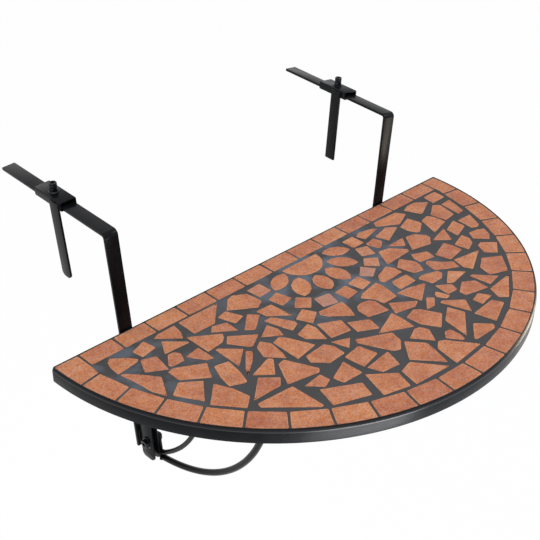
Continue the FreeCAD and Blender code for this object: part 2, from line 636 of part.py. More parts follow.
def clamp(side, centre):
    """Box sleeve that slides on the arm, with its leg, weld nut and screw."""
    half_room = HALF_BAR + " + Sheet.sleeve_clearance"
    left = centre + " - (%s)" % half_room
    floor = ARM_BASE + " - Sheet.sleeve_wall"
    roof = ARM_BASE + " + Sheet.sleeve_room"
    start = "Sheet.%s_clamp_start" % side
    shell = rounded_box(
        "shell_" + side, left + " - Sheet.sleeve_wall", start, floor,
        "2 * (%s + Sheet.sleeve_wall)" % half_room, "Sheet.sleeve_length",
        "(Sheet.sleeve_room + 2 * Sheet.sleeve_wall)", "Sheet.sleeve_corner",
    )
    room = box("room_" + side, left, start + " - 5", ARM_BASE,
               "2 * (%s)" % half_room, "Sheet.sleeve_length + 10", "Sheet.sleeve_room")
    screw_y = start + " + 32"
    top = roof + " + Sheet.sleeve_wall"
    through = cylinder("through_" + side, "Sheet.screw_diameter / 2 + 0.05", "20",
                       centre, screw_y, roof + " - 5")
    sleeve = cut("sleeve_" + side, cut("sleeve_open_" + side, shell, room), through)

    leg_left = left + " - Sheet.sleeve_wall - Sheet.clamp_leg_thickness"
    width = SIZES["bar_width"]
    round_end, inset = (7.0, "2") if side == "left" else (1.0, "9")
    profile = [(0, 0), (0, -SIZES["clamp_leg_length"] + round_end)]
    profile += [
        (round_end - round_end * math.cos(math.radians(a)),
         -SIZES["clamp_leg_length"] + round_end - round_end * math.sin(math.radians(a)))
        for a in (30, 60, 90)
    ]
    profile += [(width - u, v) for u, v in reversed(profile)]
    sketch = outlines("clamp_leg_outline_" + side, [profile])
    place(sketch, leg_left, start + " + " + inset, roof, YZ_FRAME)
    leg = extrude("leg_plate_" + side, sketch, "Sheet.clamp_leg_thickness")

    flange = cylinder("flange_" + side, "7.4", "1.6", centre, screw_y, top)
    hex_part = hexagon("nut_hex_" + side, "10.5", "6.6", centre, screw_y, top)
    nut = cut("weld_nut_" + side, fuse("nut_blank_" + side, [flange, hex_part]), through)

    tip = "Sheet.hook_height + 0.05"
    shank = cylinder("shank_" + side, "Sheet.screw_diameter / 2", "16",
                     centre, screw_y, tip)
    head = cylinder("head_" + side, "5.2", "6.5", centre, screw_y, tip + " + 13.7")
    socket = hexagon("socket_" + side, "5", "4", centre, screw_y, tip + " + 16.7")
    screw = cut("screw_" + side, fuse("screw_blank_" + side, [shank, head]), socket)
    return [
        lean(group("clamp_%s_%s" % (name, side), [turn(piece, side)]), side)
        for name, piece in (("sleeve", sleeve), ("leg", leg), ("nut", nut), ("screw", screw))
    ]


for side, way in (("left", -1), ("right", 1)):
    centre = "%d * Sheet.%s_offset" % (way, side)
    front = stay(side, "front", centre, way)
    rear = stay(side, "rear", centre, way, front)
    leaning = [hook(side, centre), channel(side, centre), stay_plate(side, centre, way)]
    finished += [support_rail(side, centre), front, rear] + [lean(o, side) for o in leaning]
    finished += clamp(side, centre)

    bolt = "Sheet.bolt_diameter"
    back = "Sheet.bar_thickness"
    head = cylinder("rail_head_" + side, bolt, "4.2", centre, back, BOLT_TAB, ALONG_Y)
    shank = cylinder("rail_shank_" + side, bolt + " / 2", back + " + 12.5",
                     centre, "-12.5", BOLT_TAB, ALONG_Y)
    rail_bolts.append(fuse("rail_bolt_" + side, [head, shank]))
    nut = hexagon("rail_nut_hex_" + side, "13", "6.5", centre,
                  "-Sheet.rail_thickness - 6.5", BOLT_TAB, ALONG_Y)
    rail_nuts.append(cut("rail_nut_" + side, nut, cylinder(
        "rail_nut_bore_" + side, bolt + " / 2", "30", centre, "-25", BOLT_TAB, ALONG_Y)))

    outer = "Sheet.channel_width / 2"
    inner = "-(%s + Sheet.plate_thickness)" % outer
    washer = pin("washer_disc_" + side, "9", centre, way, outer, outer + " + 1.6", PIN_Y, PIN_Z)
    washer_bore = pin("washer_bore_" + side, bolt + " / 2 + 0.2", centre, way, outer + " - 1",
                      outer + " + 3", PIN_Y, PIN_Z)
    pin_washers.append(lean(cut("pin_washer_" + side, washer, washer_bore), side))
    head = pin("pin_head_" + side, "6.5", centre, way, outer + " + 1.6", outer + " + 6.6",
               PIN_Y, PIN_Z)
    shank = pin("pin_shank_" + side, bolt + " / 2", centre, way, inner + " - 9",
                outer + " + 2", PIN_Y, PIN_Z)
    socket_start = outer + " + 3.6" if way > 0 else "-(%s + 6.6)" % outer
    socket = hexagon("pin_socket_" + side, "5", "3", centre + " + (%s)" % socket_start,
                     PIN_Y, PIN_Z, ALONG_X)
    pin_bolts.append(lean(cut(
        "pin_bolt_" + side, fuse("pin_bolt_blank_" + side, [head, shank]), socket), side))
    nut_start = inner + " - 6.5" if way > 0 else "-(%s)" % inner
    nut = hexagon("pin_nut_hex_" + side, "13", "6.5", centre + " + (%s)" % nut_start,
                  PIN_Y, PIN_Z, ALONG_X)
    pin_nuts.append(lean(cut("pin_nut_" + side, nut, cylinder(
        "pin_nut_bore_" + side, bolt + " / 2", "80", centre + " - 40",
        PIN_Y, PIN_Z, ALONG_X)), side))

cross = box(
    "cross_rail", "-Sheet.left_offset + " + HALF_BAR, "-150",
    UNDERSIDE + " - Sheet.rail_thickness",
    "Sheet.left_offset + Sheet.right_offset - Sheet.bar_width", "Sheet.bar_width",
    "Sheet.rail_thickness",
)
finished += [
    cross, group("rail_bolts", rail_bolts), group("rail_nuts", rail_nuts),
    group("pin_bolts", pin_bolts), group("pin_washers", pin_washers),
    group("pin_nuts", pin_nuts),
]

doc.recompute()
problems = [
    o.Label for o in doc.Objects if "Invalid" in o.State or "Error" in o.State
]
if problems:
    raise RuntimeError("objects with errors: " + ", ".join(problems))
os.makedirs("parts", exist_ok=True)
for obj in finished:
    if obj.Shape.isNull() or not obj.Shape.isValid():
        raise RuntimeError("bad shape: " + obj.Label)
    if not obj.Shape.Solids:
        raise RuntimeError("no solid in: " + obj.Label)
    obj.Shape.exportStep("parts/%s.step" % obj.Label)
    print(obj.Label, len(obj.Shape.Solids), [round(v, 1) for v in (
        obj.Shape.BoundBox.XMin, obj.Shape.BoundBox.XMax, obj.Shape.BoundBox.YMin,
        obj.Shape.BoundBox.YMax, obj.Shape.BoundBox.ZMin, obj.Shape.BoundBox.ZMax)])
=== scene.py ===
import random
from functools import partial
from math import asin, cos, exp, hypot, pi, radians, sin, sqrt

import bmesh
import bpy
from mathutils import Matrix, Vector, geometry, noise
from mathutils.kdtree import KDTree


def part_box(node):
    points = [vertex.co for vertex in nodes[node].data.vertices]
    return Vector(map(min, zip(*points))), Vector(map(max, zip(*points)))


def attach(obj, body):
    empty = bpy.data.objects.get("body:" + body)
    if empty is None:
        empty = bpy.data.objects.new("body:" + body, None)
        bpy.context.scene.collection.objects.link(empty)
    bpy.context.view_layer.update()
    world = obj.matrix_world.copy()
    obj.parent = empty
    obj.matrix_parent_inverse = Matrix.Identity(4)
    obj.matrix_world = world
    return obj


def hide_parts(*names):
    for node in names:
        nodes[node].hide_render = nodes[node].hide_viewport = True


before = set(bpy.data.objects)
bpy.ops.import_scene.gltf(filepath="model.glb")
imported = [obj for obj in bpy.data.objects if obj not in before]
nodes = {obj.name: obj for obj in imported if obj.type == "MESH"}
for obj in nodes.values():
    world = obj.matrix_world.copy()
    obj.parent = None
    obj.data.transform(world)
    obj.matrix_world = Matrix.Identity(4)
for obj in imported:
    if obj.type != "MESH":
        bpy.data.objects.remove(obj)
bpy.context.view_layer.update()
mm = 0.001
axisX = Vector((1, 0, 0))
axisY = Vector((0, 1, 0))
axisZ = Vector((0, 0, 1))
random.seed(11)


# colours and node trees

def srgb(text):
    # hex as seen on screen, turned to the linear values that the nodes want
    parts = [int(text[i:i + 2], 16) / 255 for i in (1, 3, 5)]
    return tuple(c / 12.92 if c <= 0.04045 else ((c + 0.055) / 1.055) ** 2.4 for c in parts) + (1,)


def plug(node, links):
    # a source is a socket, or a node that stands for its first output
    for key, source in links.items():
        socket = source.outputs[0] if isinstance(source, bpy.types.Node) else source
        node.id_data.links.new(socket, node.inputs[key])


def addNode(tree, kind, settings=None, links=None):
    # a setting is a property or an input's value; stops are a ramp's, as (place, hex or grey level)
    node = tree.nodes.new("ShaderNode" + kind)
    for key, value in (settings or {}).items():
        if key == "stops":
            elements = node.color_ramp.elements
            while len(elements) < len(value):
                elements.new(0.5)
            for element, (place, tone) in zip(elements, value):
                element.position = place
                element.color = srgb(tone) if isinstance(tone, str) else (tone, tone, tone, 1)
        elif isinstance(key, int) or key in node.inputs:
            node.inputs[key].default_value = value
        else:
            setattr(node, key, value)
    plug(node, links or {})
    return node


def newMaterial(name, shine):
    material = bpy.data.materials.new(name)
    material.use_nodes = True
    shader = material.node_tree.nodes["Principled BSDF"]
    for key, value in shine.items():
        shader.inputs[key].default_value = value
    add = partial(addNode, material.node_tree)
    return material, shader, add, add("TexCoord").outputs["Object"]


# objects and meshes

def addObject(name, data):
    thing = bpy.data.objects.new(name, data)
    bpy.context.scene.collection.objects.link(thing)
    return thing


def toMesh(bm, name):
    bmesh.ops.recalc_face_normals(bm, faces=bm.faces)
    mesh = bpy.data.meshes.new(name)
    bm.to_mesh(mesh)
    bm.free()
    return mesh


def addPiece(name, bm, material, body, stands, sharp):
    # sharp is the angle in degrees beyond which an edge is drawn as one
    mesh = toMesh(bm, name)
    mesh.materials.append(material)
    mesh.polygons.foreach_set("use_smooth", [True] * len(mesh.polygons))
    mesh.set_sharp_from_angle(angle=radians(sharp))
    piece = addObject(name, mesh)
    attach(piece, body)
    if stands:
        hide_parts(*stands)


def camel(node):
    first, *rest = node.split("_")
    return first + "".join(word.capitalize() for word in rest)


def addIron(node, bm, body="table_frame", sharp=40):
    addPiece(camel(node), bm, barFinish, body, (node,), sharp)


def addLoop(bm, points):
    return [bm.verts.new(p) for p in points]


def skin(bm, rings, closed=False):
    # walls from ring to ring, and a cap at each end unless the rings come back to the first
    for low, high in zip(rings, rings[1:] + (rings[:1] if closed else [])):
        for i in range(len(low)):
            j = (i + 1) % len(low)
            bm.faces.new((low[i], low[j], high[j], high[i]))
    if not closed:
        bm.faces.new(list(reversed(rings[0])))
        bm.faces.new(rings[-1])


def moved(bm, matrix):
    bmesh.ops.transform(bm, matrix=matrix, verts=bm.verts)
    return bm


def roundedSection(wide, high, radius, steps=3):
    # a flat bar's section in mm: rolled edges, never knife sharp
    points = []
    for cx, cy, start in ((1, 1, 0), (-1, 1, 90), (-1, -1, 180), (1, -1, 270)):
        for i in range(steps + 1):
            a = radians(start + 90 * i / steps)
            points.append((cx * (wide / 2 - radius) + radius * cos(a),
                           cy * (high / 2 - radius) + radius * sin(a)))
    return points


def circle(steps, more=0):
    # angles once round, and on by some steps more
    return [2 * pi * i / steps for i in range(steps + more)]


def roundSection(thick, steps=18):
    return [(thick / 2 * cos(a), thick / 2 * sin(a)) for a in circle(steps)]


def sectionRing(bm, section, place, across, high, shrink):
    # one ring of a bar, its section drawn in all round by shrink (mm)
    points = []
    for a, b in section:
        k = (1 - shrink / hypot(a, b)) * mm
        points.append(place + across * (a * k) + high * (b * k))
    return addLoop(bm, points)


def sweep(bm, path, section, soft):
    # path as (centre, across, up); each end is drawn in by soft (mm), like a deburred cut
    stations = [(*station, 0.0) for station in path]
    for end, beside in ((0, 1), (-1, -2)):
        place, across, high = path[end]
        inward = (path[beside][0] - place).normalized()
        stations[end] = (place + inward * (soft * mm), across, high, 0.0)
    stations = [(*path[0], soft)] + stations + [(*path[-1], soft)]
    skin(bm, [sectionRing(bm, section, *station) for station in stations])


def lathe(bm, centre, axis, profile, steps, wave=None, matrix=Matrix()):
    # profile in mm, as (distance along the axis, radius); wave changes a radius by its angle
    side = axis.orthogonal().normalized()
    other = axis.cross(side)
    rings = []
    for along, radius in profile:
        ring = []
        for a in circle(steps):
            r = wave(along, radius, a) if wave else radius
            out = side * cos(a) + other * sin(a)
            ring.append(matrix @ (centre + (axis * along + out * r) * mm))
        rings.append(addLoop(bm, ring))
    skin(bm, rings)


# camera, stage and lamps

stage = {
    "cameraPlace": (-0.90846, -0.92333, 0.64142),
    "cameraTurn": (57.928, -0.561, -44.299),  # degrees
    "viewAcross": 29.08,  # degrees across the square picture
    "sensor": 36,  # mm
    "farthest": 60,  # metres that the camera sees
    "floorHeight": -1.05,  # a balcony floor under a railing a metre high
    "floorSize": 16.0,
    "floorPaint": {"Roughness": 0.9, "Base Color": srgb("#f7f7f7")},
    "floorWhite": 0.97,  # share of the floor that is plain white to the eye; the rest keeps a faint shadow
    "sky": ("#f4f6fa", 0.62),
    "plainWhite": {"Color": (1, 1, 1, 1), "Strength": 1.0},
    "lampsFace": Vector((0, -0.12, -0.15)),
}
lamps = {  # place, side of the square, watts and tint
    "key": ((-1.1, -0.6, 2.3), 2.2, 29, "#fffaf4"),
    "fill": ((1.0, -0.95, 1.3), 0.55, 12, "#dfe8ff"),
    "low": ((0.56, -0.45, -0.27), 0.2, 0.9, "#ffeed4"),
    "front": ((-0.19, -0.67, -0.42), 0.38, 5.2, "#f8f9fa"),
    "back": ((-1.4, 1.9, 1.7), 1.6, 14, "#ffffff"),
}


def plainWhiteRays(add):
    # 1 for the rays that see the background itself, straight, in gloss or through glass
    ray = add("LightPath").outputs
    either = add("Math", {"operation": "MAXIMUM"}, {0: ray["Is Camera Ray"], 1: ray["Is Glossy Ray"]})
    return add("Math", {"operation": "MAXIMUM"}, {0: either, 1: ray["Is Transmission Ray"]})


def buildStage():
    scene = bpy.context.scene
    scene.view_settings.view_transform = "Standard"
    data = bpy.data.cameras.new("camera")
    data.sensor_width = stage["sensor"]
    data.angle = radians(stage["viewAcross"])
    data.clip_end = stage["farthest"]
    scene.camera = addObject("camera", data)
    scene.camera.location = stage["cameraPlace"]
    scene.camera.rotation_euler = [radians(a) for a in stage["cameraTurn"]]

    half = stage["floorSize"] / 2
    bm = bmesh.new()
    corners = ((-half, -half), (half, -half), (half, half), (-half, half))
    bm.faces.new(addLoop(bm, [(x, y, stage["floorHeight"]) for x, y in corners]))
    floor = addObject("floor", toMesh(bm, "floor"))
    material, shader, add = newMaterial("paintedStudioFloor", stage["floorPaint"])[:3]
    white = add("Emission", stage["plainWhite"])
    share = add("Math", {"operation": "MULTIPLY", 1: stage["floorWhite"]}, {0: plainWhiteRays(add)})
    mix = add("MixShader", None, {0: share, 1: shader, 2: white})
    plug(material.node_tree.nodes["Material Output"], {"Surface": mix})
    floor.data.materials.append(material)

    world = bpy.data.worlds.new("studio")
    world.use_nodes = True
    scene.world = world
    add = partial(addNode, world.node_tree)
    sky = world.node_tree.nodes["Background"]
    colour, strength = stage["sky"]
    sky.inputs["Color"].default_value = srgb(colour)
    sky.inputs["Strength"].default_value = strength
    plain = add("Background", stage["plainWhite"])
    mix = add("MixShader", None, {0: plainWhiteRays(add), 1: sky, 2: plain})
    plug(world.node_tree.nodes["World Output"], {"Surface": mix})

    for name, (place, size, watts, tint) in lamps.items():
        data = bpy.data.lights.new(name, "AREA")
        data.shape = "SQUARE"
        data.size = size
        data.energy = watts
        data.color = srgb(tint)[:3]
        lamp = addObject(name, data)
        lamp.location = place
        lamp.rotation_euler = (stage["lampsFace"] - Vector(place)).to_track_quat("-Z", "Y").to_euler()


buildStage()
print("stage: camera, floor and five soft lamps")


# materials; a ramp is a list of (place, hex or grey level)

tileLook = {
    "shine": {"IOR": 1.5, "Specular IOR Level": 0.3},
    "body": [(0.32, "#ac6a4a"), (0.52, "#bd7c57"), (0.7, "#c68862")],
    "grain": [(0.3, "#b08f88"), (0.56, "#ffffff")],
    "grainShare": 0.8,
    "speck": "#8e3420",
    "speckEdge": [(0.38, 1.0), (0.49, 0.0)],
    "speckRagged": 0.55,
    "speckGather": [(0.4, 0.85), (0.58, 0.22)],
    # the pale edge's colour, partly chipped clay and partly a painted highlight
    "worn": "#cf9269",
    "wornShare": [(0.46, 0.08), (0.62, 0.8)],
    "haze": "#968888",
    "startElsewhere": (0.31, 0.17, 0.0),  # metres, times the tile's tint
    "mottleMm": 26.0,
    "blushMm": 5.0,
    "grainMm": 1.9,  # firing grain is about 0.5 mm; drawn coarser so that it shows
    "chipMm": 16.0,  # length of a stretch of pale edge
    "speckMm": 5.0,
}


def terracottaTile():
    # cotto: red clay pressed and fired with a thin matt glaze, cloudy orange-brown with iron specks,
    # pale along the cut edges, partly where they chipped and partly as a painted highlight
    look = tileLook
    material, shader, add, place = newMaterial("firedTerracotta", look["shine"])
    tint, wear, dull = [add("Attribute", {"attribute_name": name}).outputs["Fac"]
                        for name in ("tint", "wear", "pale")]
    # every chip was broken from another tile, so its clouds start elsewhere
    jump = add("VectorMath", {"operation": "SCALE", 0: look["startElsewhere"]}, {"Scale": tint})
    own = add("VectorMath", {"operation": "ADD"}, {0: place, 1: jump})
    cloud = add("TexNoise", {
        "Scale": 1000 / look["mottleMm"], "Detail": 5.0, "Roughness": 0.62, "Distortion": 0.35}, {
        "Vector": own})
    base = add("ValToRGB", {"stops": look["body"]}, {0: cloud})
    # each tile is a little lighter, darker, redder or browner than the next
    shade = add("MapRange", {"To Min": 0.93, "To Max": 1.07}, {"Value": tint})
    turn = add("MapRange", {"To Min": 0.4955, "To Max": 0.503}, {"Value": tint})
    # the glaze took the fire unevenly: pinker here, more orange there
    blush = add("TexNoise", {"Scale": 1000 / look["blushMm"], "Detail": 3.0}, {"Vector": own})
    fired = add("MapRange", {
        "From Min": 0.36, "From Max": 0.64, "To Min": 0.92, "To Max": 1.07}, {"Value": blush})
    varied = add("HueSaturation", None, {"Color": base, "Value": shade, "Hue": turn, "Saturation": fired})
    grain = add("TexNoise", {
        "Scale": 1000 / look["grainMm"], "Detail": 3.0, "Roughness": 0.7}, {"Vector": own})
    grainTone = add("ValToRGB", {"stops": look["grain"]}, {0: grain})
    colour = add("Mix", {"data_type": "RGBA", "blend_type": "MULTIPLY", 0: look["grainShare"]}, {
        6: varied, 7: grainTone}).outputs[2]
    # iron specks gather in the darker clouds
    cell = add("TexVoronoi", {"Scale": 1000 / look["speckMm"], "Randomness": 1.0}, {"Vector": own})
    ragged = add("Math", {"operation": "MULTIPLY_ADD", 1: look["speckRagged"]}, {0: grain, 2: cell})
    shape = add("ValToRGB", {"stops": look["speckEdge"]}, {0: ragged})
    gather = add("ValToRGB", {"stops": look["speckGather"]}, {0: cloud})
    speck = add("Math", {"operation": "MULTIPLY"}, {0: shape, 1: gather})
    # pale edge, only here and there: partly chipped clay, partly a painted highlight on the rounded edge
    patch = add("TexNoise", {"Scale": 1000 / look["chipMm"], "Detail": 2.0}, {"Vector": own})
    patches = add("ValToRGB", {"stops": look["wornShare"]}, {0: patch})
    worn = add("Math", {"operation": "MULTIPLY"}, {0: wear, 1: patches})
    # and grout haze, left on some of the rosette's tiles
    for share, over in ((speck, "speck"), (worn, "worn"), (dull, "haze")):
        colour = add("Mix", {"data_type": "RGBA", 7: srgb(look[over])}, {0: share, 6: colour}).outputs[2]
    gloss = add("MapRange", {
        "From Min": 0.3, "From Max": 0.7, "To Min": 0.5, "To Max": 0.66}, {"Value": cloud})
    swell = add("Bump", {"Strength": 0.35, "Distance": 0.8 * mm}, {"Height": cloud})
    fine = add("Bump", {"Strength": 0.3, "Distance": 0.12 * mm}, {"Height": grain, "Normal": swell})
    plug(shader, {"Base Color": colour, "Roughness": gloss, "Normal": fine})
    return material


groutLook = {
    "body": [(0.38, "#2c2a2a"), (0.62, "#3b3a3b")],
    "film": "#58616b",
    "filmShape": [(0.44, 0.0), (0.64, 1.0)],
    "filmPlaces": (((0.03, -0.06, 0.0), 0.16, 0.26), ((-0.3, -0.08, 0.0), 0.13, 0.2)),  # middle, near, far
    "sand": [(0.35, 0.78), (0.65, 1.0)],
    "sandShare": 0.7,
    "blotchMm": 70.0,
    "filmMm": 34.0,
    "sandMm": 1.1,  # the sand is 0.3 mm; drawn coarser so that it shows
}


def slateGrout():
    # cement grout coloured slate grey, sponged off: blotchy, sandy and quite matt
    look = groutLook
    material, shader, add, place = newMaterial("spongedCementGrout", {"IOR": 1.5})
    blotch = add("TexNoise", {
        "Scale": 1000 / look["blotchMm"], "Detail": 4.0, "Roughness": 0.55}, {"Vector": place})
    base = add("ValToRGB", {"stops": look["body"]}, {0: blotch})
    # the cement haze that wasn't wiped off lies round the rosette and near the left end
    film = add("TexNoise", {"Scale": 1000 / look["filmMm"], "Detail": 3.0}, {"Vector": place})
    shape = add("ValToRGB", {"stops": look["filmShape"]}, {0: film})
    near = None
    for middle, close, far in look["filmPlaces"]:
        away = add("VectorMath", {"operation": "DISTANCE", 1: middle}, {0: place})
        fade = add("MapRange", {"From Min": close, "From Max": far, "To Min": 1.0, "To Max": 0.0}, {
            "Value": away.outputs["Value"]})
        near = add("Math", {"operation": "MAXIMUM"}, {0: fade, 1: near or fade})
    share = add("Math", {"operation": "MULTIPLY"}, {0: shape, 1: near})
    filmed = add("Mix", {"data_type": "RGBA", 7: srgb(look["film"])}, {0: share, 6: base})
    sand = add("TexNoise", {
        "Scale": 1000 / look["sandMm"], "Detail": 3.0, "Roughness": 0.75}, {"Vector": place})
    tone = add("ValToRGB", {"stops": look["sand"]}, {0: sand})
    mixed = add("Mix", {"data_type": "RGBA", "blend_type": "MULTIPLY", 0: look["sandShare"]}, {
        6: filmed.outputs[2], 7: tone})
    gloss = add("MapRange", {
        "From Min": 0.35, "From Max": 0.65, "To Min": 0.62, "To Max": 0.85}, {"Value": blotch})
    rough = add("Bump", {"Strength": 0.6, "Distance": 0.25 * mm}, {"Height": sand})
    plug(shader, {"Base Color": mixed.outputs[2], "Roughness": gloss, "Normal": rough})
    return material


coatLook = {
    "body": [(0.45, "#0c0d10"), (0.75, "#17181b")],  # clean and dusty
    # the marked edge's lighter grey is a painted highlight line
    "worn": "#222327",
    "polished": 0.5,  # specular level of the marked edge, as if polished
    "duller": 0.14,  # roughness that the scuffs add
    "peelMm": 1.4,  # orange peel of a sprayed and baked powder coat
    "scuffMm": 45.0,
}


def powderCoat(name, gloss, peel=0.25, specular=0.1):
    # satin black polyester powder: its carbon black swallows most of the mirror image and leaves a soft
    # sheen over faint orange peel, with dusty scuffs here and there
    look = coatLook
    material, shader, add, place = newMaterial(name, {"IOR": 1.5, "Specular IOR Level": specular})
    scuff = add("TexNoise", {
        "Scale": 1000 / look["scuffMm"], "Detail": 6.0, "Roughness": 0.68}, {"Vector": place})
    base = add("ValToRGB", {"stops": look["body"]}, {0: scuff})
    # the marked edge gets a painted highlight in a lighter grey, and more specular as if polished
    wear = add("Attribute", {"attribute_name": "wear"}).outputs["Fac"]
    edged = add("Mix", {"data_type": "RGBA", 7: srgb(look["worn"])}, {0: wear, 6: base})
    polish = add("MapRange", {"To Min": specular, "To Max": look["polished"]}, {"Value": wear})
    rough = add("MapRange", {
        "From Min": 0.35, "From Max": 0.7, "To Min": gloss, "To Max": gloss + look["duller"]}, {
        "Value": scuff})
    orange = add("TexNoise", {
        "Scale": 1000 / look["peelMm"], "Detail": 1.5, "Roughness": 0.4}, {"Vector": place})
    bump = add("Bump", {"Strength": peel, "Distance": 0.08 * mm}, {"Height": orange})
    plug(shader, {
        "Base Color": edged.outputs[2], "Specular IOR Level": polish, "Roughness": rough, "Normal": bump})
    return material


oxideLook = {"body": [(0.4, "#1e1f22"), (0.72, "#3c3d42")], "smearMm": 1000 / 260}


def blackOxide():
    # blackened steel fasteners: oiled oxide over turned metal
    look = oxideLook
    material, shader, add, place = newMaterial("blackOxideSteel", {"Metallic": 1.0})
    smear = add("TexNoise", {
        "Scale": 1000 / look["smearMm"], "Detail": 4.0, "Roughness": 0.6}, {"Vector": place})
    base = add("ValToRGB", {"stops": look["body"]}, {0: smear})
    rough = add("MapRange", {"To Min": 0.26, "To Max": 0.42}, {"Value": smear})
    bump = add("Bump", {"Strength": 0.15, "Distance": 0.05 * mm}, {"Height": smear})
    plug(shader, {"Base Color": base, "Roughness": rough, "Normal": bump})
    return material


tileFinish = terracottaTile()
groutFinish = slateGrout()
barFinish = powderCoat("satinPowderCoat", 0.19)
rimFinish = powderCoat("satinPowderCoatRim", 0.26, 0.18, 0.1)
weldFinish = powderCoat("satinPowderCoatWeld", 0.42, 0.4)
fastenerFinish = blackOxide()
print("materials: tile, grout, powder coat, oxide")


# mosaic

mosaic = {
    "edgeStep": 2.6 * mm,  # spacing of the points round a chip
    "nibble": 0.28 * mm,  # how ragged a broken edge is
    "nibbleWaves": (240, 700),  # to the metre
    "cornerCut": 0.45 * mm,
    "sliver": 6.0 * mm,  # a chip narrower than this has a narrower pale edge
    "tilt": 0.0035,  # slope that a tile may be laid with
    "settle": 0.04 * mm,  # how far a level tile's face lies under the CAD's
    # section of the edge, from the foot up: inset mm, drop mm, pale edge share (wear and painted highlight)
    "rings": ((0.0, 5.0, 0), (0.0, 0.55, 0.5), (0.16, 0.22, 1),
              (0.5, 0.04, 0.9), (1.1, 0.0, 0.25), (2.2, 0.0, 0)),
    "arcTrim": (0.7 * mm, 1.0 * mm),  # border tiles: off the sides, off the edge at the rim
    "edgeTrim": (0.6 * mm, 0.4 * mm),
    "hazes": (0.0, 0.12, 0.3),  # some of the rosette's squares kept a grey film
}


def topOutlines(node):
    # closed outlines of the node's top faces, counter-clockwise, as lists of (x, y)
    bm = bmesh.new()
    bm.from_mesh(nodes[node].data)
    bmesh.ops.remove_doubles(bm, verts=bm.verts, dist=0.01 * mm)
    top = max(v.co.z for v in bm.verts)
    faces = [f for f in bm.faces if f.normal.z > 0.9 and f.calc_center_median().z > top - 0.1 * mm]
    chosen = set(faces)
    after = {}
    for face in faces:
        for loop in face.loops:
            if sum(f in chosen for f in loop.edge.link_faces) == 1:
                after[loop.vert.index] = loop.link_loop_next.vert.index
    bm.verts.ensure_lookup_table()
    outlines = []
    while after:
        start, here = after.popitem()
        walk = [start]
        while here != start:
            walk.append(here)
            here = after.pop(here)
        outlines.append([(bm.verts[i].co.x, bm.verts[i].co.y) for i in walk])
    bm.free()
    return outlines, top


def tidyOutline(points):
    # drops points in line with their neighbours
    kept = []
    for i, p in enumerate(points):
        a = Vector(p) - Vector(points[i - 1])
        b = Vector(points[(i + 1) % len(points)]) - Vector(p)
        if a.length < 1e-6 or abs(a.cross(b)) > 0.002 * a.length * b.length:
            kept.append(p)
    return kept


def brokenOutline(points, seed):
    # the outline cut into short steps, nibbled inward, with its corners knocked off
    out = []
    coarse, fine = mosaic["nibbleWaves"]
    for i, p in enumerate(points):
        a = Vector(p)
        side = Vector(points[(i + 1) % len(points)]) - a
        before = (Vector(points[i - 1]) - a).normalized()
        out.append(a + (before + side.normalized()) * mosaic["cornerCut"])
        steps = max(2, round(side.length / mosaic["edgeStep"]))
        inward = Vector((-side.y, side.x)).normalized()
        for k in range(1, steps):
            here = a + side * (k / steps)
            seeded = Vector((here.x, here.y, seed))
            rough = noise.noise(seeded * coarse) + 0.5 * noise.noise(seeded * fine)
            out.append(here + inward * (mosaic["nibble"] * (0.55 + 0.45 * max(-1, min(1, rough)))))
    return out


def insetOutline(points, distance):
    out = []
    count = len(points)
    for i in range(count):
        a = (points[i] - points[i - 1]).normalized()
        b = (points[(i + 1) % count] - points[i]).normalized()
        normal = Vector((-a.y - b.y, a.x + b.x))
        if normal.length < 1e-4:
            out.append(points[i].copy())
            continue
        normal.normalize()
        # a sharp corner would run far out, so its reach has a limit
        reach = min(1.4, 1 / max(0.3, normal.dot(Vector((-b.y, b.x)))))
        out.append(points[i] + normal * (distance * reach))
    return out


def limited(point, outer):
    # keeps a border tile's outer edge clear of the rim
    middle = Vector((0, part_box("grout_bed")[1].y))
    reach = (point - middle).length
    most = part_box("border_tiles_arc")[1].x - outer
    return middle + (point - middle) * min(1, most / reach)


def buildTiles(node, name, trim, hazes):
    outlines, top = topOutlines(node)
    kept = []
    bm = bmesh.new()
    tint, wear, dull = [bm.verts.layers.float.new(layer) for layer in ("tint", "wear", "pale")]
    for number, outline in enumerate(outlines):
        corners = tidyOutline(outline)
        if trim:
            side, outer = trim
            corners = [limited(p, outer) for p in insetOutline([Vector(p) for p in corners], side)]
        kept.append(corners)
        xs = [p[0] for p in corners]
        ys = [p[1] for p in corners]
        centre = Vector((sum(xs) / len(xs), sum(ys) / len(ys)))
        area = abs(sum(xs[i - 1] * ys[i] - xs[i] * ys[i - 1] for i in range(len(xs)))) / 2
        around = sum((Vector(corners[i]) - Vector(corners[i - 1])).length for i in range(len(corners)))
        slim = min(1.0, 2 * area / around / mosaic["sliver"])
        edge = brokenOutline(corners, number)
        colour = random.random()
        faded = random.choice(hazes) if hazes else 0.0
        tilt = Vector((random.uniform(-1, 1), random.uniform(-1, 1))) * mosaic["tilt"]
        rings = []
        for inset, drop, worn in mosaic["rings"]:
            ring = []
            for p in insetOutline(edge, inset * mm * slim) if inset else edge:
                lean = min(0.0, (p - centre).dot(tilt) - mosaic["settle"])
                vert = bm.verts.new((p.x, p.y, top - drop * mm + (lean if drop < 1 else 0)))
                vert[tint] = colour
                vert[wear] = worn
                vert[dull] = faded
                ring.append(vert)
            rings.append(ring)
        skin(bm, rings)
    big = [f for f in bm.faces if len(f.verts) > 4]
    bmesh.ops.triangulate(bm, faces=big, quad_method="BEAUTY", ngon_method="BEAUTY")
    addPiece(name, bm, tileFinish, "table_frame", (node,), 50)
    return kept


chipOutlines = []
for node, name, trim, hazes in (
        ("border_tiles_arc", "arcBorderTiles", mosaic["arcTrim"], ()),
        ("border_tiles_straight", "edgeBorderTiles", mosaic["edgeTrim"], ()),
        ("mosaic_chips", "crazyPavingChips", None, ()),
        ("rosette_petals", "rosettePetals", None, ()),
        ("rosette_squares", "rosetteSquares", None, mosaic["hazes"])):
    chipOutlines += buildTiles(node, name, trim, hazes)
print("mosaic:", len(chipOutlines), "tiles")


